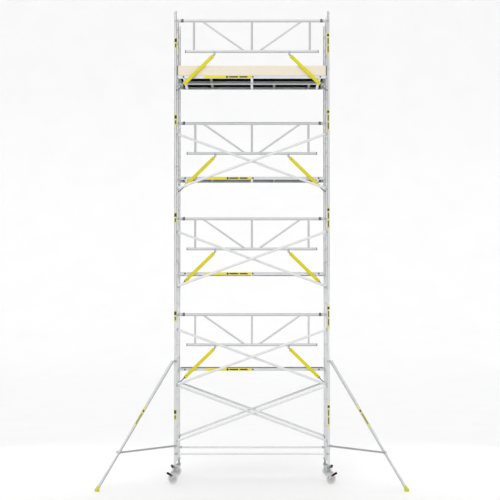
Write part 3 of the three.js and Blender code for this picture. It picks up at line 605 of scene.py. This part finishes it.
def deck_sheet(piece, x0, x1, y0, y1, z0, z1, hatch=None):
    """Plywood sheet in cells round the hatch; its cut edges carry the edge material."""
    xs, ys, cells = [x0, x1], [y0, y1], {(0, 0)}
    if hatch:
        xs[1:1], ys[1:1] = hatch[:2], hatch[2:]
        cells = {(i, j) for i in range(3) for j in range(3)} - {(1, 1)}
    for i, j in sorted(cells):
        a, b, c, d = xs[i], xs[i + 1], ys[j], ys[j + 1]
        points = [Vector((x, y, z)) for z in (z0, z1) for x, y in ((a, c), (b, c), (b, d), (a, d))]
        piece.add(points[:4], [(3, 2, 1, 0)], 2)
        piece.add(points[4:], [(0, 1, 2, 3)], 0)
        beside = ((i, j - 1), (i + 1, j), (i, j + 1), (i - 1, j))
        for p, cell in enumerate(beside):
            q = (p + 1) % 4
            if cell not in cells:
                piece.add([points[p], points[q], points[q + 4], points[p + 4]], [(0, 1, 2, 3)], 1)


def rail_label(name, y, z, x0, x1):
    """Yellow strip on the front rail with a black roundel and two plain bars."""
    piece = Piece(name, "tower", label_yellow, label_black)
    front = y - 0.0007
    piece.block((x0, front, z - 0.026), (x1, y + 0.0002, z + 0.026), 0, 0.0003)
    start = x0 + (x1 - x0) * 0.47
    piece.lathe(Vector((start + 0.012, front + 0.0002, z)), -Y_AXIS,
                [(0.023, -0.0002), (0.023, 0.0006), (0.0215, 0.0008)], 1, 28)
    for a, b in ((0.05, 0.23), (0.26, 0.42)):
        piece.block((start + a, front - 0.0005, z - 0.014), (start + b, front + 0.0002, z + 0.014),
                    1, 0.0003)
    piece.build()


def build_platform(node, level, hatch_node=None):
    """Side rails, cross-members, hooks, deck, rail plugs and rivets of one platform."""
    (_, y0, _), (_, y1, _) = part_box(node)
    rung = platform_rung(level)
    bottom = rung + RAIL_ABOVE_RUNG
    top = bottom + DECK_RAIL_HEIGHT
    half = POST_X - RAIL_END
    rails = Piece(node + "_side_rails", "tower", aluminium_deck_rail)
    deck_rail(rails, half, y0, -1, bottom, top)
    deck_rail(rails, half, y1, 1, bottom, top)
    dark_places = [-half + MEMBER_HALF, -0.82, half - MEMBER_HALF]
    hatch = None
    if hatch_node:
        (hx0, hy0, _), (hx1, hy1, _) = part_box(hatch_node)
        hatch = (hx0 - HATCH_GAP, hx1 + HATCH_GAP, hy0 - HATCH_GAP, hy1 + HATCH_GAP)
        dark_places += [hatch[0] - 0.01, hatch[1] + 0.01]
    members = Piece(node + "_cross_members", "tower", aluminium_member, zinc, dark_steel)
    underside = bottom + 0.006
    for x, paint in [(x, 2) for x in dark_places] + [(x, 0) for x in (-MEMBER_AT, 0.0, MEMBER_AT)]:
        members.block((x - MEMBER_HALF, y0 + 0.0265, underside),
                      (x + MEMBER_HALF, y1 - 0.0265, top - DECK_THICKNESS - 0.0006), paint, 0.003)
        for y in (y0 + HOOK_INSET, y1 - HOOK_INSET):
            members.bolt(Vector((x, y, underside)), -Z_AXIS, 0.006, 0.005, 1)
    hooks = Piece(node + "_hooks", "tower", casting, zinc)
    for sx in (-1, 1):
        for y in (y0 + HOOK_INSET, y1 - HOOK_INSET):
            platform_hook(hooks, sx * POST_X, y, rung, sx)
            head = Vector((sx * (POST_X - 0.055), y - 0.0175, rung + 0.021))
            hooks.bolt(head, -Y_AXIS, 0.005, 0.004, 1)
    deck = Piece(node + "_deck", "tower", deck_face, deck_edge, deck_under)
    deck_sheet(deck, -half + 0.003, half - 0.003, y0 + 0.0042, y1 - 0.0042,
               top - DECK_THICKNESS, top - 0.0006, hatch)
    plugs = Piece(node + "_rail_plugs", "tower", black_plastic)
    for x in (-half + 0.11, 0.02, half - 0.11):
        plugs.lathe(Vector((x, y0, bottom + PLUG_HEIGHT)), -Y_AXIS,
                    [(0.017, -0.002), (0.017, 0.0012), (0.0136, 0.0022), (0.00425, 0.0026)], 0, 20)
    rivets = Piece(node + "_deck_rivets", "tower", zinc)
    for i in range(RIVETS):
        x = -half + 0.06 + (2 * half - 0.12) * i / (RIVETS - 1)
        for y in (y0 + 0.018, y1 - 0.018):
            rivets.lathe(Vector((x, y, top - 0.0007)), Z_AXIS,
                         [(0.006, 0), (0.0055, 0.0006), (0.003, 0.0009)], 0, 12)
    rails.build()
    members.build()
    hooks.build()
    deck.build(node)
    plugs.build()
    rivets.build()
    if node != "platform_4":
        rail_label(node + "_label", y0, bottom + PLUG_HEIGHT, -0.96, 0.0)


def build_trapdoor(level):
    """Panel with three hinges, a latch plate and a handle below."""
    node = f"trapdoor_{level}"
    (x0, y0, z0), (x1, y1, z1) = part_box(node)
    panel = Piece(node + "_panel", node, deck_face, deck_edge, deck_under)
    deck_sheet(panel, x0, x1, y0, y1, z0, z1 - 0.0004)
    trim = Piece(node + "_hardware", node, zinc, black_plastic)
    x = (x0 + x1) / 2
    for hinge in (x0 + 0.09, x, x1 - 0.09):
        a, b = hinge - 0.035, hinge + 0.035
        trim.block((a, y1 - 0.05, z1 - 0.0004), (b, y1 - 0.004, z1 + 0.0016), 0, 0.0006)
        pin = [Vector((end, y1 - 0.0035, z1 + 0.002)) for end in (a, b)]
        trim.tube(*pin, 0.0034, 0, 14)
    trim.block((x - 0.045, y0 + 0.01, z1 - 0.0004), (x + 0.045, y0 + 0.05, z1 + 0.0022), 1, 0.001)
    trim.block((x - 0.03, y0 + 0.018, z0 - 0.012), (x + 0.03, y0 + 0.04, z0 + 0.0004), 1, 0.002)
    panel.build(node)
    trim.build()


def build_platforms():
    for level in LEVELS:
        build_platform(f"platform_{level}", level, f"trapdoor_{level}")
        build_trapdoor(level)
    build_platform("platform_4_near", 4)


def build_toe_board():
    """Birch board with eased edges and a steel bracket at each end."""
    (x0, y0, z0), (x1, y1, z1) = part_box("toe_board")
    board = Piece("toe_board_panel", "tower", birch, deck_edge)
    r = 0.0025
    outline = [(y0, z0 + r), (y0 + r, z0), (y1 - r, z0), (y1, z0 + r),
               (y1, z1 - r), (y1 - r, z1), (y0 + r, z1), (y0, z1 - r)]
    rings = [[Vector((x, y, z)) for y, z in outline] for x in (x0 + 0.004, x1 - 0.004)]
    board.rings(rings, 0, caps=False)
    board.add(rings[0], [tuple(range(8))], 1)
    board.add(rings[1], [tuple(reversed(range(8)))], 1)
    ends = Piece("toe_board_brackets", "tower", dark_steel, zinc)
    for sign, x in ((-1, x0), (1, x1)):
        for reach, front, back in ((0.026, y0 - 0.0002, y0 + 0.0035), (0.026, y1 - 0.003, y1 + 0.002),
                                   (0.004, y0, y1)):
            a, b = sorted((x, x - sign * reach))
            ends.block((a, front, z0), (b, back, z1), 0, 0.001)
        for z in (z0 + 0.04, z1 - 0.04):
            ends.bolt(Vector((x - sign * 0.015, y0 - 0.0002, z)), -Y_AXIS, 0.004, 0.003, 1)
    board.build("toe_board")
    ends.build()


# ------------ guardrails and their struts

GUARD_TOP = 1.16
GUARD_LOW = 0.545
GUARD_POST_AT = 1.16
STRUT_PIVOT_AT = 0.75
PIVOT_DROP = 0.06
STRUT_HOOK_DROP = 0.235
STRUT_DEPTH = 0.068
STRUT_THICKNESS = 0.044
STRUT_START = 0.036
STRUT_BARE_END = 0.17
LOWER_RAIL_END = 1.335

def upright_claw(piece, x, y, z, sign):
    """Cast claw round an upright with its black trigger button."""
    at = Vector((x, y, z))
    out = X_AXIS * sign
    piece.claw(at, Z_AXIS, out, UPRIGHT_RADIUS + TOUCH, CLAW_WALL, 0.036, 236)
    neck = at - out * (UPRIGHT_RADIUS + 0.03)
    piece.lathe(neck, out, [(0.021, -0.012), (0.0255, -0.004), (0.0255, 0.012), (0.018, 0.026)], 0, 22)
    piece.lathe(neck + Z_AXIS * 0.0245, Z_AXIS, [(0.0075, 0), (0.0075, 0.005), (0.005, 0.0075)], 1, 16)


def strut_lug(lugs, rail):
    """Saddle on the lower rail with two cheeks and a bolt for a strut's pivot."""
    pivot = rail - Z_AXIS * PIVOT_DROP
    outline = [(-0.022, PIVOT_DROP), (-0.022, -0.004), *arc(0.022, 0.015, 190, 350, 20, -0.002),
               (0.022, -0.004), (0.022, PIVOT_DROP)]
    for face in (-Y_AXIS, Y_AXIS):
        lugs.prism(outline, pivot + face * 0.0084, X_AXIS, Z_AXIS, 0.006, 0)
        lugs.bolt(pivot + face * 0.0114, face, 0.0055, 0.005, 1)
    lugs.claw(rail, X_AXIS, Z_AXIS, RAIL_RADIUS + 0.0002, 0.003, 0.044, 200)


def build_guardrail(level):
    """Two rails with posts and diagonals between them, claws, end caps and lugs for the struts."""
    node = f"guardrail_{level}"
    y = middle(node).y
    rung = platform_rung(level)
    top, low = rung + GUARD_TOP, rung + GUARD_LOW
    tubes = Piece(node + "_tubes", "tower", aluminium_x, weld_metal)
    reach = POST_X - UPRIGHT_RADIUS - RAIL_SHORT
    tubes.tube(Vector((-reach, y, top)), Vector((reach, y, top)), RAIL_RADIUS, 0, 24)
    reach = LOWER_RAIL_END - 0.004
    tubes.tube(Vector((-reach, y, low)), Vector((reach, y, low)), RAIL_RADIUS, 0, 24, 0.026)
    members = [(x, x, GUARD_POST_RADIUS) for x in (-GUARD_POST_AT, 0.0, GUARD_POST_AT)]
    members += [(s * 0.13, s * 1.01, GUARD_DIAGONAL_RADIUS) for s in (-1, 1)]
    for foot_x, head_x, radius in members:
        foot, head = Vector((foot_x, y, low)), Vector((head_x, y, top))
        tubes.tube(foot, head, radius, 0, 18)
        along = (head - foot).normalized()
        rise = along * (RAIL_RADIUS / along.z)
        for toe in (foot + rise, head - rise):
            weld(tubes, toe, along, radius, 1, 0.003)
    claws = Piece(node + "_claws", "tower", casting, black_plastic, dark_steel)
    caps = Piece(node + "_end_caps", "tower", black_plastic)
    lugs = Piece(node + "_strut_lugs", "tower", casting, zinc)
    for sign in (-1, 1):
        upright_claw(claws, sign * POST_X, y, top, sign)
        latch = Vector((sign * (POST_X - 0.085), y, top))
        inward = X_AXIS * -sign
        claws.lathe(latch, inward, [(0.0289, 0), (0.0318, 0.004), (0.0318, 0.02), (0.0296, 0.024)])
        claws.lathe(latch + inward * 0.024, inward,
                    [(0.0289, 0), (0.0308, 0.003), (0.0308, 0.047), (0.0289, 0.05)], 2)
        x = latch.x - sign * 0.05
        claws.block((x - 0.016, y - 0.008, top + 0.028), (x + 0.016, y + 0.008, top + 0.04), 1, 0.003)
        caps.lathe(Vector((sign * (LOWER_RAIL_END - 0.014), y, low)), X_AXIS * sign,
                   [(0.0291, 0), (0.0294, 0.004), (0.0294, 0.011), (0.025, 0.014)])
        strut_lug(lugs, Vector((sign * STRUT_PIVOT_AT, y, low)))
    tubes.build(node)
    claws.build()
    caps.build()
    lugs.build()


def build_strut(level, side, sign):
    """Yellow strut: tongue on the pivot, painted tube, bare steel hook at the upright."""
    node = f"guardrail_strut_{level}_{side}"
    body = f"strut_{level}_{side}"
    y = middle(node).y
    rung = platform_rung(level)
    pivot = Vector((sign * STRUT_PIVOT_AT, y, rung + GUARD_LOW - PIVOT_DROP))
    cup = Vector((sign * (POST_X - UPRIGHT_RADIUS - 0.014), y, rung - STRUT_HOOK_DROP))
    along = (cup - pivot).normalized()
    side_way = along.cross(Y_AXIS)
    reach = (cup - pivot).length - STRUT_BARE_END
    tube_end = pivot + along * reach

    def section(place, wide, tall):
        return rounded_section(pivot + along * place, side_way, Y_AXIS, wide, tall, 5)

    tube = Piece(node + "_tube", body, yellow, black_plastic)
    tube.rings([section(place, STRUT_DEPTH - inset, STRUT_THICKNESS - inset)
                for place, inset in ((STRUT_START, 0.004), (STRUT_START + 0.002, 0),
                                     (reach - 0.002, 0), (reach, 0.004))])
    for place in (STRUT_START + 0.05, reach - 0.05):
        head = pivot + along * place - Y_AXIS * (STRUT_THICKNESS / 2 - 0.0004)
        tube.bolt(head, -Y_AXIS, 0.005, 0.003, 1)
    tube.rings([section(reach + d, STRUT_DEPTH * k, STRUT_THICKNESS * k)
                for d, k in ((-0.004, 0.9), (0.006, 0.9), (0.012, 0.72))], 1)
    steel = Piece(node + "_hook", body, dark_steel, zinc)
    tongue = [(-0.011, -0.012), (-0.015, -0.004), (-0.015, 0.004), (-0.011, 0.012),
              (0.06, 0.0145), (0.06, -0.0145)]
    steel.prism(tongue, pivot, along, side_way, 0.008, 0)
    steel.tube(tube_end - along * 0.02, cup, 0.0105, 0, 16)
    at = Vector((sign * POST_X, y, rung - STRUT_HOOK_DROP))
    steel.claw(at, Z_AXIS, X_AXIS * sign, UPRIGHT_RADIUS + TOUCH, 0.0065, 0.034, 122)
    steel.lathe(tube_end + along * 0.03, along,
                [(0.0165, 0), (0.0175, 0.004), (0.0175, 0.028), (0.014, 0.034)], 1, 20)
    tube.build(node)
    steel.build()


def build_guardrails():
    for level in LEVELS:
        build_guardrail(level)
        for side, sign in SIDES:
            build_strut(level, side, sign)


# ------------ braces

BRACE_ABOVE_RUNG = 0.034


def rung_claw(piece, at, out, along):
    """Cast claw over a rung under the brace's end, with a black button in its cheek."""
    piece.claw(at, Y_AXIS, out, RUNG_RADIUS + TOUCH, CLAW_WALL, 0.034, 228)
    socket = at + Z_AXIS * BRACE_ABOVE_RUNG - along * 0.004
    piece.lathe(socket, along, [(0.012, -0.003), (0.0235, 0), (0.0256, 0.004), (0.0256, 0.052),
                                (0.0242, 0.056)])
    web = [(-0.002, 0.014), (0.016, 0.012), (0.046, 0.03), (0.046, 0.034), (-0.002, 0.034)]
    piece.prism(web if out.x < 0 else web[::-1], at, -out, Z_AXIS, 0.026, 0, 0.002)
    piece.lathe(at - out * 0.014 + Z_AXIS * 0.002 - Y_AXIS * 0.017, -Y_AXIS,
                [(0.0125, -0.012), (0.0125, 0.004), (0.0095, 0.0065)], 1, 20)


def build_brace(node):
    """Diagonal from a rung of one frame to the fourth rung above on the other."""
    low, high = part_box(node)
    y = (low[1] + high[1]) / 2
    rung = rung_height(round((low[2] - rung_height(0)) / RUNG_PITCH))
    ends = [rung, rung + RUNG_PITCH * 4]
    if not node.endswith("right"):
        ends.reverse()
    a, b = Vector((-POST_X, y, ends[0])), Vector((POST_X, y, ends[1]))
    along = (b - a).normalized()
    lift = Z_AXIS * BRACE_ABOVE_RUNG
    tube = Piece(node + "_tube", "tower", aluminium_brace)
    tube.tube(a + lift + along * 0.004, b + lift - along * 0.004, BRACE_RADIUS, 0, 24)
    claws = Piece(node + "_claws", "tower", casting, black_plastic)
    rung_claw(claws, a, -X_AXIS, along)
    rung_claw(claws, b, X_AXIS, -along)
    tube.build(node)
    claws.build()


def build_base_rail(node):
    """Level rail between the near or far uprights, with a claw round each."""
    _, y, z = middle(node)
    reach = POST_X - UPRIGHT_RADIUS - RAIL_SHORT
    tube = Piece(node + "_tube", "tower", aluminium_brace)
    tube.tube(Vector((-reach, y, z)), Vector((reach, y, z)), BASE_RAIL_RADIUS, 0, 24)
    claws = Piece(node + "_claws", "tower", casting, black_plastic)
    for sign in (-1, 1):
        upright_claw(claws, sign * POST_X, y, z, sign)
    tube.build(node)
    claws.build()


def build_braces():
    for group in ("base_brace_near", "base_brace_far", "brace_1", "brace_2", "brace_3"):
        for side, _ in SIDES:
            build_brace(f"{group}_rising_{side}")
    build_base_rail("base_rail_near")
    build_base_rail("base_rail_far")


# ------------ stabilisers

STABILISER_RADIUS = 0.029
CLAMP_HEIGHT = 0.04
FOOT_RADIUS = 0.05
STABILISER_START = 0.062
STABILISER_MEET = 0.7


def clamp(piece, at, out, radius, axis=Z_AXIS):
    """Two-part tube clamp with a hinge bolt and a wing nut."""
    side = axis.cross(out)
    piece.claw(at, axis, side, radius, 0.0075, CLAMP_HEIGHT, 352, 0, 28)
    ear = at + side * (radius + 0.012)
    outline = [(-0.012, -0.016), (0.01, -0.016), (0.014, 0), (0.01, 0.016), (-0.012, 0.016)]
    for s in (-1, 1):
        piece.prism(outline, ear + out * s * 0.006, side, axis, 0.005, 0)
    piece.lathe(ear - out * 0.022 + side * 0.002, out, [(0.0045, 0), (0.0045, 0.052)], 1, 12)
    nut = ear + out * 0.014 + side * 0.002
    piece.lathe(nut, out, [(0.0095, 0), (0.0085, 0.01), (0.006, 0.013)], 1, 12)
    wing = [(0.004, 0.001), (0.026, 0.01), (0.029, 0.019), (0.022, 0.021), (0.004, 0.011)]
    for s in (-1, 1):
        piece.prism(mirrored(wing, s), nut, axis, out, 0.0035, 1, 0.0008)


def foot_place(node, post, sign):
    """Level direction from the upright to the foot and how far it is, from the node's box."""
    low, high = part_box(node)
    x = high[0] if sign > 0 else low[0]
    way = Vector((x, low[1], 0)) - post - Vector((sign, -1, 0)) * FOOT_RADIUS * 0.9
    out = way.normalized()
    return out, (abs(x - post.x) - FOOT_RADIUS) / abs(out.x)


def build_stabiliser(side, sign):
    """Main tube of an outrigger with its clamp, rubber foot and label."""
    body = f"stabiliser_{side}"
    node = f"stabiliser_tube_{side}"
    post = Vector((sign * POST_X, NEAR_Y, 0))
    out, run = foot_place(node, post, sign)
    foot = post + out * run
    level = Z_AXIS * (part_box(node)[1][2] - CLAMP_HEIGHT / 2)
    start = post + out * STABILISER_START + level
    end = foot + Z_AXIS * 0.031
    along = (end - start).normalized()
    tube = Piece(node + "_tube", body, stabiliser_tube)
    tube.tube(start, end - along * 0.012, STABILISER_RADIUS, 0, 28)
    fittings = Piece(node + "_clamp", body, casting, zinc)
    clamp(fittings, post + level, out, UPRIGHT_RADIUS + 0.0012)
    fittings.tube(post + out * (UPRIGHT_RADIUS + 0.006) + level, start + out * 0.004, 0.0135, 0, 18)
    pad = Piece(node + "_foot", body, foot_rubber)
    pad.lathe(foot, Z_AXIS, [
        (0.03, 0.0), (0.044, 0.0), (0.0475, 0.004), (0.0475, 0.01), (0.0455, 0.012), (0.0465, 0.016),
        (0.046, 0.03), (0.041, 0.044), (0.033, 0.055), (0.0285, 0.061), (0.01, 0.062),
    ], 0, 32)
    pad.lathe(end - along * 0.075, along,
              [(0.0294, 0), (0.033, 0.006), (0.035, 0.05), (0.033, 0.066)], 0, 28)
    label = Piece(node + "_label", body, label_yellow, label_black)
    mark = start.lerp(end, 0.44)
    _, front, _ = frame_axes(along, -Y_AXIS)
    label.strip(mark, along, front, 0.09, 0.52, STABILISER_RADIUS)
    for place, width, bar in ((-0.12, 0.03, 0.04), (0.06, 0.013, 0.24)):
        label.strip(mark + along * place, along, front, width, bar, STABILISER_RADIUS, 1, BAR_LIFT)
    tube.build(node)
    fittings.build()
    pad.build()
    label.build()
    build_stabiliser_strut(f"stabiliser_strut_{side}", body, post, out, start, end)


def build_stabiliser_strut(node, body, post, out, start, end):
    """Strut from a low clamp on the upright to a clamp on the main tube."""
    level = Z_AXIS * (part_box(node)[1][2] - CLAMP_HEIGHT / 2)
    meet = start.lerp(end, (start.z - STABILISER_MEET) / (start.z - end.z))
    along, across, _ = frame_axes(end - start, out)
    tube = Piece(node + "_tube", body, grey_tube)
    root = post + out * (UPRIGHT_RADIUS + 0.01) + level
    tube.tube(root, meet - (meet - root).normalized() * (STABILISER_RADIUS + 0.008), 0.019, 0, 24)
    fittings = Piece(node + "_clamps", body, casting, zinc)
    clamp(fittings, post + level, out, UPRIGHT_RADIUS + 0.0012)
    clamp(fittings, meet, across, STABILISER_RADIUS + 0.0006, along)
    tube.build(node)
    fittings.build()


# ------------ castors

WHEEL_RADIUS = 0.1
AXLE_OUT = 0.045
FORK_INNER = 0.029
CHEEK = 0.006
FORK_OUTER = FORK_INNER + CHEEK
PEDAL_OUT = 0.06
PEDAL_HEIGHT = 0.165
PEDAL_SLOPE = 27


def build_leg(piece, post, top):
    """Adjustable leg inside the upright and its thread."""
    piece.tube(post + Z_AXIS * 0.268, post + Z_AXIS * top, 0.019, 0, 24)
    for i in range(9):
        piece.lathe(post + Z_AXIS * (0.272 + 0.008 * i), Z_AXIS,
                    [(0.019, 0), (0.0212, 0.002), (0.0212, 0.004), (0.019, 0.006)])


def build_nut(piece, post):
    """Nut that carries the upright, with four lugs."""
    profile = [(0.021, 0.345), (0.03, 0.346), (0.0325, 0.35), (0.0325, 0.372), (0.03, 0.3775),
               (0.021, 0.3785)]
    piece.lathe(post, Z_AXIS, profile, 0, 12)
    lug = [(0, -0.008), (0.014, -0.005), (0.014, 0.005), (0, 0.008)]
    diagonal = (X_AXIS + Y_AXIS).normalized()
    for d in spokes(diagonal, Z_AXIS.cross(diagonal), 4):
        piece.prism(lug, post + d * 0.029 + Z_AXIS * 0.362, d, Z_AXIS.cross(d), 0.022, 0)


def build_fork(corner, post, trail):
    """Pressed fork with swivel head, axle bolt and pedal pins, and the leg, nut and lever above."""
    body = f"castor_{corner}"
    node = f"castor_fork_{corner}"
    fork = Piece(node + "_fork", body, casting, zinc)
    cheek = [(-0.034, 0.243), (-0.036, 0.226), (-0.028, 0.205), (0.02, 0.105), (0.0265, 0.09),
             (0.037, 0.0835), (0.053, 0.0835), (0.0635, 0.09), (0.07, 0.107), (0.084, 0.205),
             (0.088, 0.222), (0.086, 0.24), (0.08, 0.244)]
    axle = post + Vector((trail * AXLE_OUT, 0, WHEEL_RADIUS))
    cross_pin = post + Vector((trail * 0.072, 0, 0.226))
    pedal_pin = post + Vector((trail * PEDAL_OUT, 0, PEDAL_HEIGHT))
    for way in (-Y_AXIS, Y_AXIS):
        fork.prism(mirrored(cheek, trail), post + way * (FORK_INNER + CHEEK / 2), X_AXIS, Z_AXIS, CHEEK,
                   0, 0.0012)
        fork.bolt(axle + way * FORK_OUTER, way, 0.0085, 0.002, 1)
        fork.lathe(pedal_pin + way * FORK_INNER, way, [(0.0058, 0), (0.0058, 0.0135), (0.0045, 0.0148)],
                   1, 18)
    a, b = sorted((-0.034 * trail, 0.052 * trail))
    fork.block(post + Vector((a, -FORK_OUTER, 0.228)), post + Vector((b, FORK_OUTER, 0.2445)), 0, 0.004)
    fork.lathe(post, Z_AXIS, [(0.03, 0.243), (0.0355, 0.245), (0.0355, 0.252), (0.033, 0.254),
                              (0.033, 0.257), (0.0355, 0.259), (0.0355, 0.266), (0.027, 0.27)], 1, 32)
    half = Y_AXIS * FORK_OUTER
    for pin, radius, sides in ((axle, 0.0075, 18), (cross_pin, 0.0055, 14)):
        fork.tube(pin - half, pin + half, radius, 1, sides)
    leg = Piece(node + "_leg", body, zinc)
    build_leg(leg, post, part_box(node)[1][2] - 0.001)
    nut = Piece(node + "_nut", body, casting)
    build_nut(nut, post)
    lever = Piece(node + "_nut_lever", body, black_plastic)
    bar = [(0.026, -0.008), (0.052, -0.026), (0.062, -0.024), (0.084, 0.014), (0.08, 0.022),
           (0.046, 0.018), (0.026, 0.01)]
    lever.prism(mirrored(bar, trail), post + Z_AXIS * 0.335, X_AXIS, Z_AXIS, 0.026, 0, 0.002)
    fork.build(node)
    leg.build()
    nut.build()
    lever.build()


def build_wheel(corner, centre):
    """Moulded wheel: crowned tread, ribbed core and a hub with its bore."""
    node = f"castor_wheel_{corner}"
    body = f"wheel_{corner}"
    tread = Piece(node + "_tyre", body, tyre)
    rim = [(0.078, 0.023), (0.09, 0.025), (0.0955, 0.0235), (0.0985, 0.019), (0.0999, 0.01)]
    outer = [(r, -w) for r, w in rim] + [(WHEEL_RADIUS, 0.0)] + rim[::-1]
    tread.lathe(centre, Y_AXIS, outer + [(0.0765, 0.0)], 0, 64, closed=True)
    core = Piece(node + "_core", body, wheel_core)
    hub = [(0.0105, 0.024), (0.021, 0.024), (0.023, 0.022), (0.025, 0.008), (0.064, 0.007),
           (0.068, 0.021), (0.0775, 0.0225)]
    core.lathe(centre, Y_AXIS, [(r, -w) for r, w in hub] + hub[::-1], 0, 48, closed=True)
    rib = [(0.022, -0.003), (0.068, -0.0022), (0.068, 0.0022), (0.022, 0.003)]
    for d in spokes(X_AXIS, Z_AXIS, 6):
        core.prism(rib, centre, d, d.cross(Y_AXIS), 0.036, 0)
    tread.build(node)
    core.build()


def build_pedal(corner, post, trail):
    """Brake pedal: two arms outside the fork and a thick ribbed tread past the wheel's rim."""
    node = f"brake_pedal_{corner}"
    body = f"pedal_{corner}"
    pivot = post + Vector((trail * PEDAL_OUT, 0, PEDAL_HEIGHT))
    slope = radians(PEDAL_SLOPE)
    u = Vector((trail * cos(slope), 0, sin(slope)))
    v = Vector((-trail * sin(slope), 0, cos(slope)))
    inner = FORK_OUTER + 0.0006
    arms = Piece(node + "_arms", body, red_plastic, black_plastic)
    outline = arc(0.016, 0.016, 90, 270, 20) + [
        (0.02, -0.016), (0.05, -0.0175), (0.112, -0.0175), (0.118, -0.011), (0.118, 0.012),
        (0.11, 0.0178), (0.05, 0.0178), (0.02, 0.0165)]
    for way in (-Y_AXIS, Y_AXIS):
        arms.prism(outline, pivot + way * (inner + 0.003), u, v, 0.006, 0, 0.001)
        arms.lathe(pivot + way * inner, way,
                   [(0.0064, 0), (0.0105, 0), (0.0105, 0.0068), (0.0064, 0.0068)], 1, 20, closed=True)
    tread = [(0.067, -0.0115), (0.112, -0.0118), (0.118, -0.007), (0.118, 0.007), (0.112, 0.0118),
             (0.069, 0.0118), (0.066, 0.007)]
    arms.prism(tread, pivot, u, v, 2 * inner, 1, 0.0012)
    pad = Piece(node + "_pad", body, red_plastic)
    for i in range(5):
        at = 0.072 + 0.009 * i
        rib = [(at, 0.0114), (at + 0.006, 0.0114), (at + 0.005, 0.0142), (at + 0.001, 0.0142)]
        pad.prism(rib, pivot, u, v, 0.06, 0, 0.0004)
    arms.build(node)
    pad.build()


def build_castors():
    for side, sign in SIDES:
        for row, y in (("near", NEAR_Y), ("far", FAR_Y)):
            corner = f"{row}_{side}"
            post = Vector((sign * POST_X, y, 0))
            wheel = middle(f"castor_wheel_{corner}")
            trail = 1 if wheel.x > post.x else -1
            build_fork(corner, post, trail)
            build_wheel(corner, wheel)
            build_pedal(corner, post, trail)


# ------------ floor, light and camera

def build_floor():
    """Seamless pale sweep: flat under the tower, rising far behind it."""
    near, far, rise, wide = -60.0, 60.0, 60.0, 90.0
    radius = 20.0
    line = [(near, 0.0), (-8.0, 0.0), (8.0, 0.0), (far - radius, 0.0)]
    for i in range(1, 17):
        t = radians(90 * i / 16)
        line.append((far - radius + radius * sin(t), radius - radius * cos(t)))
    line.append((far, rise))
    points = [(x, y, z) for y, z in line for x in (-wide, wide)]
    faces = [(2 * i, 2 * i + 1, 2 * i + 3, 2 * i + 2) for i in range(len(line) - 1)]
    mesh = bpy.data.meshes.new("floor_sweep")
    mesh.from_pydata(points, [], faces)
    n = Material("floor_paint")
    tone = n.noise(n.position, 0.6, 3.0)
    pale = n.ramp(tone, (0.3, (0.93, 0.93, 0.93)), (0.7, (0.95, 0.95, 0.95)))
    mesh.materials.append(n.surface(pale, 0.55, Specular_IOR_Level=0.25))
    for p in mesh.polygons:
        p.use_smooth = True
    placed("floor_sweep", mesh)


def area_light(name, place, target, wide, tall, power):
    data = bpy.data.lights.new(name, "AREA")
    data.shape = "RECTANGLE"
    data.size, data.size_y = wide, tall
    data.energy = power
    lamp = placed(name, data)
    lamp.location = place
    lamp.rotation_euler = (Vector(target) - Vector(place)).to_track_quat("-Z", "Y").to_euler()


def build_light():
    """White room whose sides are darker, so that bright tubes keep their edges, and soft lamps."""
    world = bpy.data.worlds.new("studio")
    bpy.context.scene.world = world
    world.use_nodes = True
    background = world.node_tree.nodes["Background"]
    n = Nodes(world.node_tree)
    way = n.node("ShaderNodeTexCoord", {}).outputs["Generated"]
    aside = n.node("ShaderNodeSeparateXYZ", {0: way}).outputs["X"]
    aside = n.node("ShaderNodeMath", {0: aside}, operation="ABSOLUTE").outputs[0]
    n.feed(background.inputs["Color"], (1, 1, 1))
    n.feed(background.inputs["Strength"], n.levels(aside, 1.19, 0.06, 0.45, 0.9))
    sun = bpy.data.lights.new("soft_sun", "SUN")
    sun.energy = 0.4
    sun.angle = radians(35)
    placed("soft_sun", sun).rotation_euler = (radians(38), radians(-14), 0)
    for side, sign in SIDES:
        area_light(f"low_{side}", (sign * 7.5, 4.3, 3.0), (sign * 1.5, 0, 0.3), 1.4, 1.0, 90)


CAMERA_DISTANCE = 24.9
CAMERA_HEIGHT = 3.26
CAMERA_PITCH = 1.4


def build_camera():
    """Long lens in front of the tower, a third of its height up."""
    data = bpy.data.cameras.new("camera")
    data.sensor_width = 36.0
    data.lens = 90.0
    data.shift_x = -0.0038
    data.shift_y = 0.078
    data.clip_end = 500
    camera = placed("camera", data)
    camera.location = (0, NEAR_Y - CAMERA_DISTANCE, CAMERA_HEIGHT)
    camera.rotation_euler = (radians(90 + CAMERA_PITCH), 0, 0)
    bpy.context.scene.camera = camera
    bpy.context.scene.view_settings.view_transform = "Standard"


build_camera()
build_floor()
build_light()
build_frames()
build_platforms()
build_toe_board()
build_guardrails()
build_braces()
for stabiliser_side, stabiliser_sign in SIDES:
    build_stabiliser(stabiliser_side, stabiliser_sign)
build_castors()
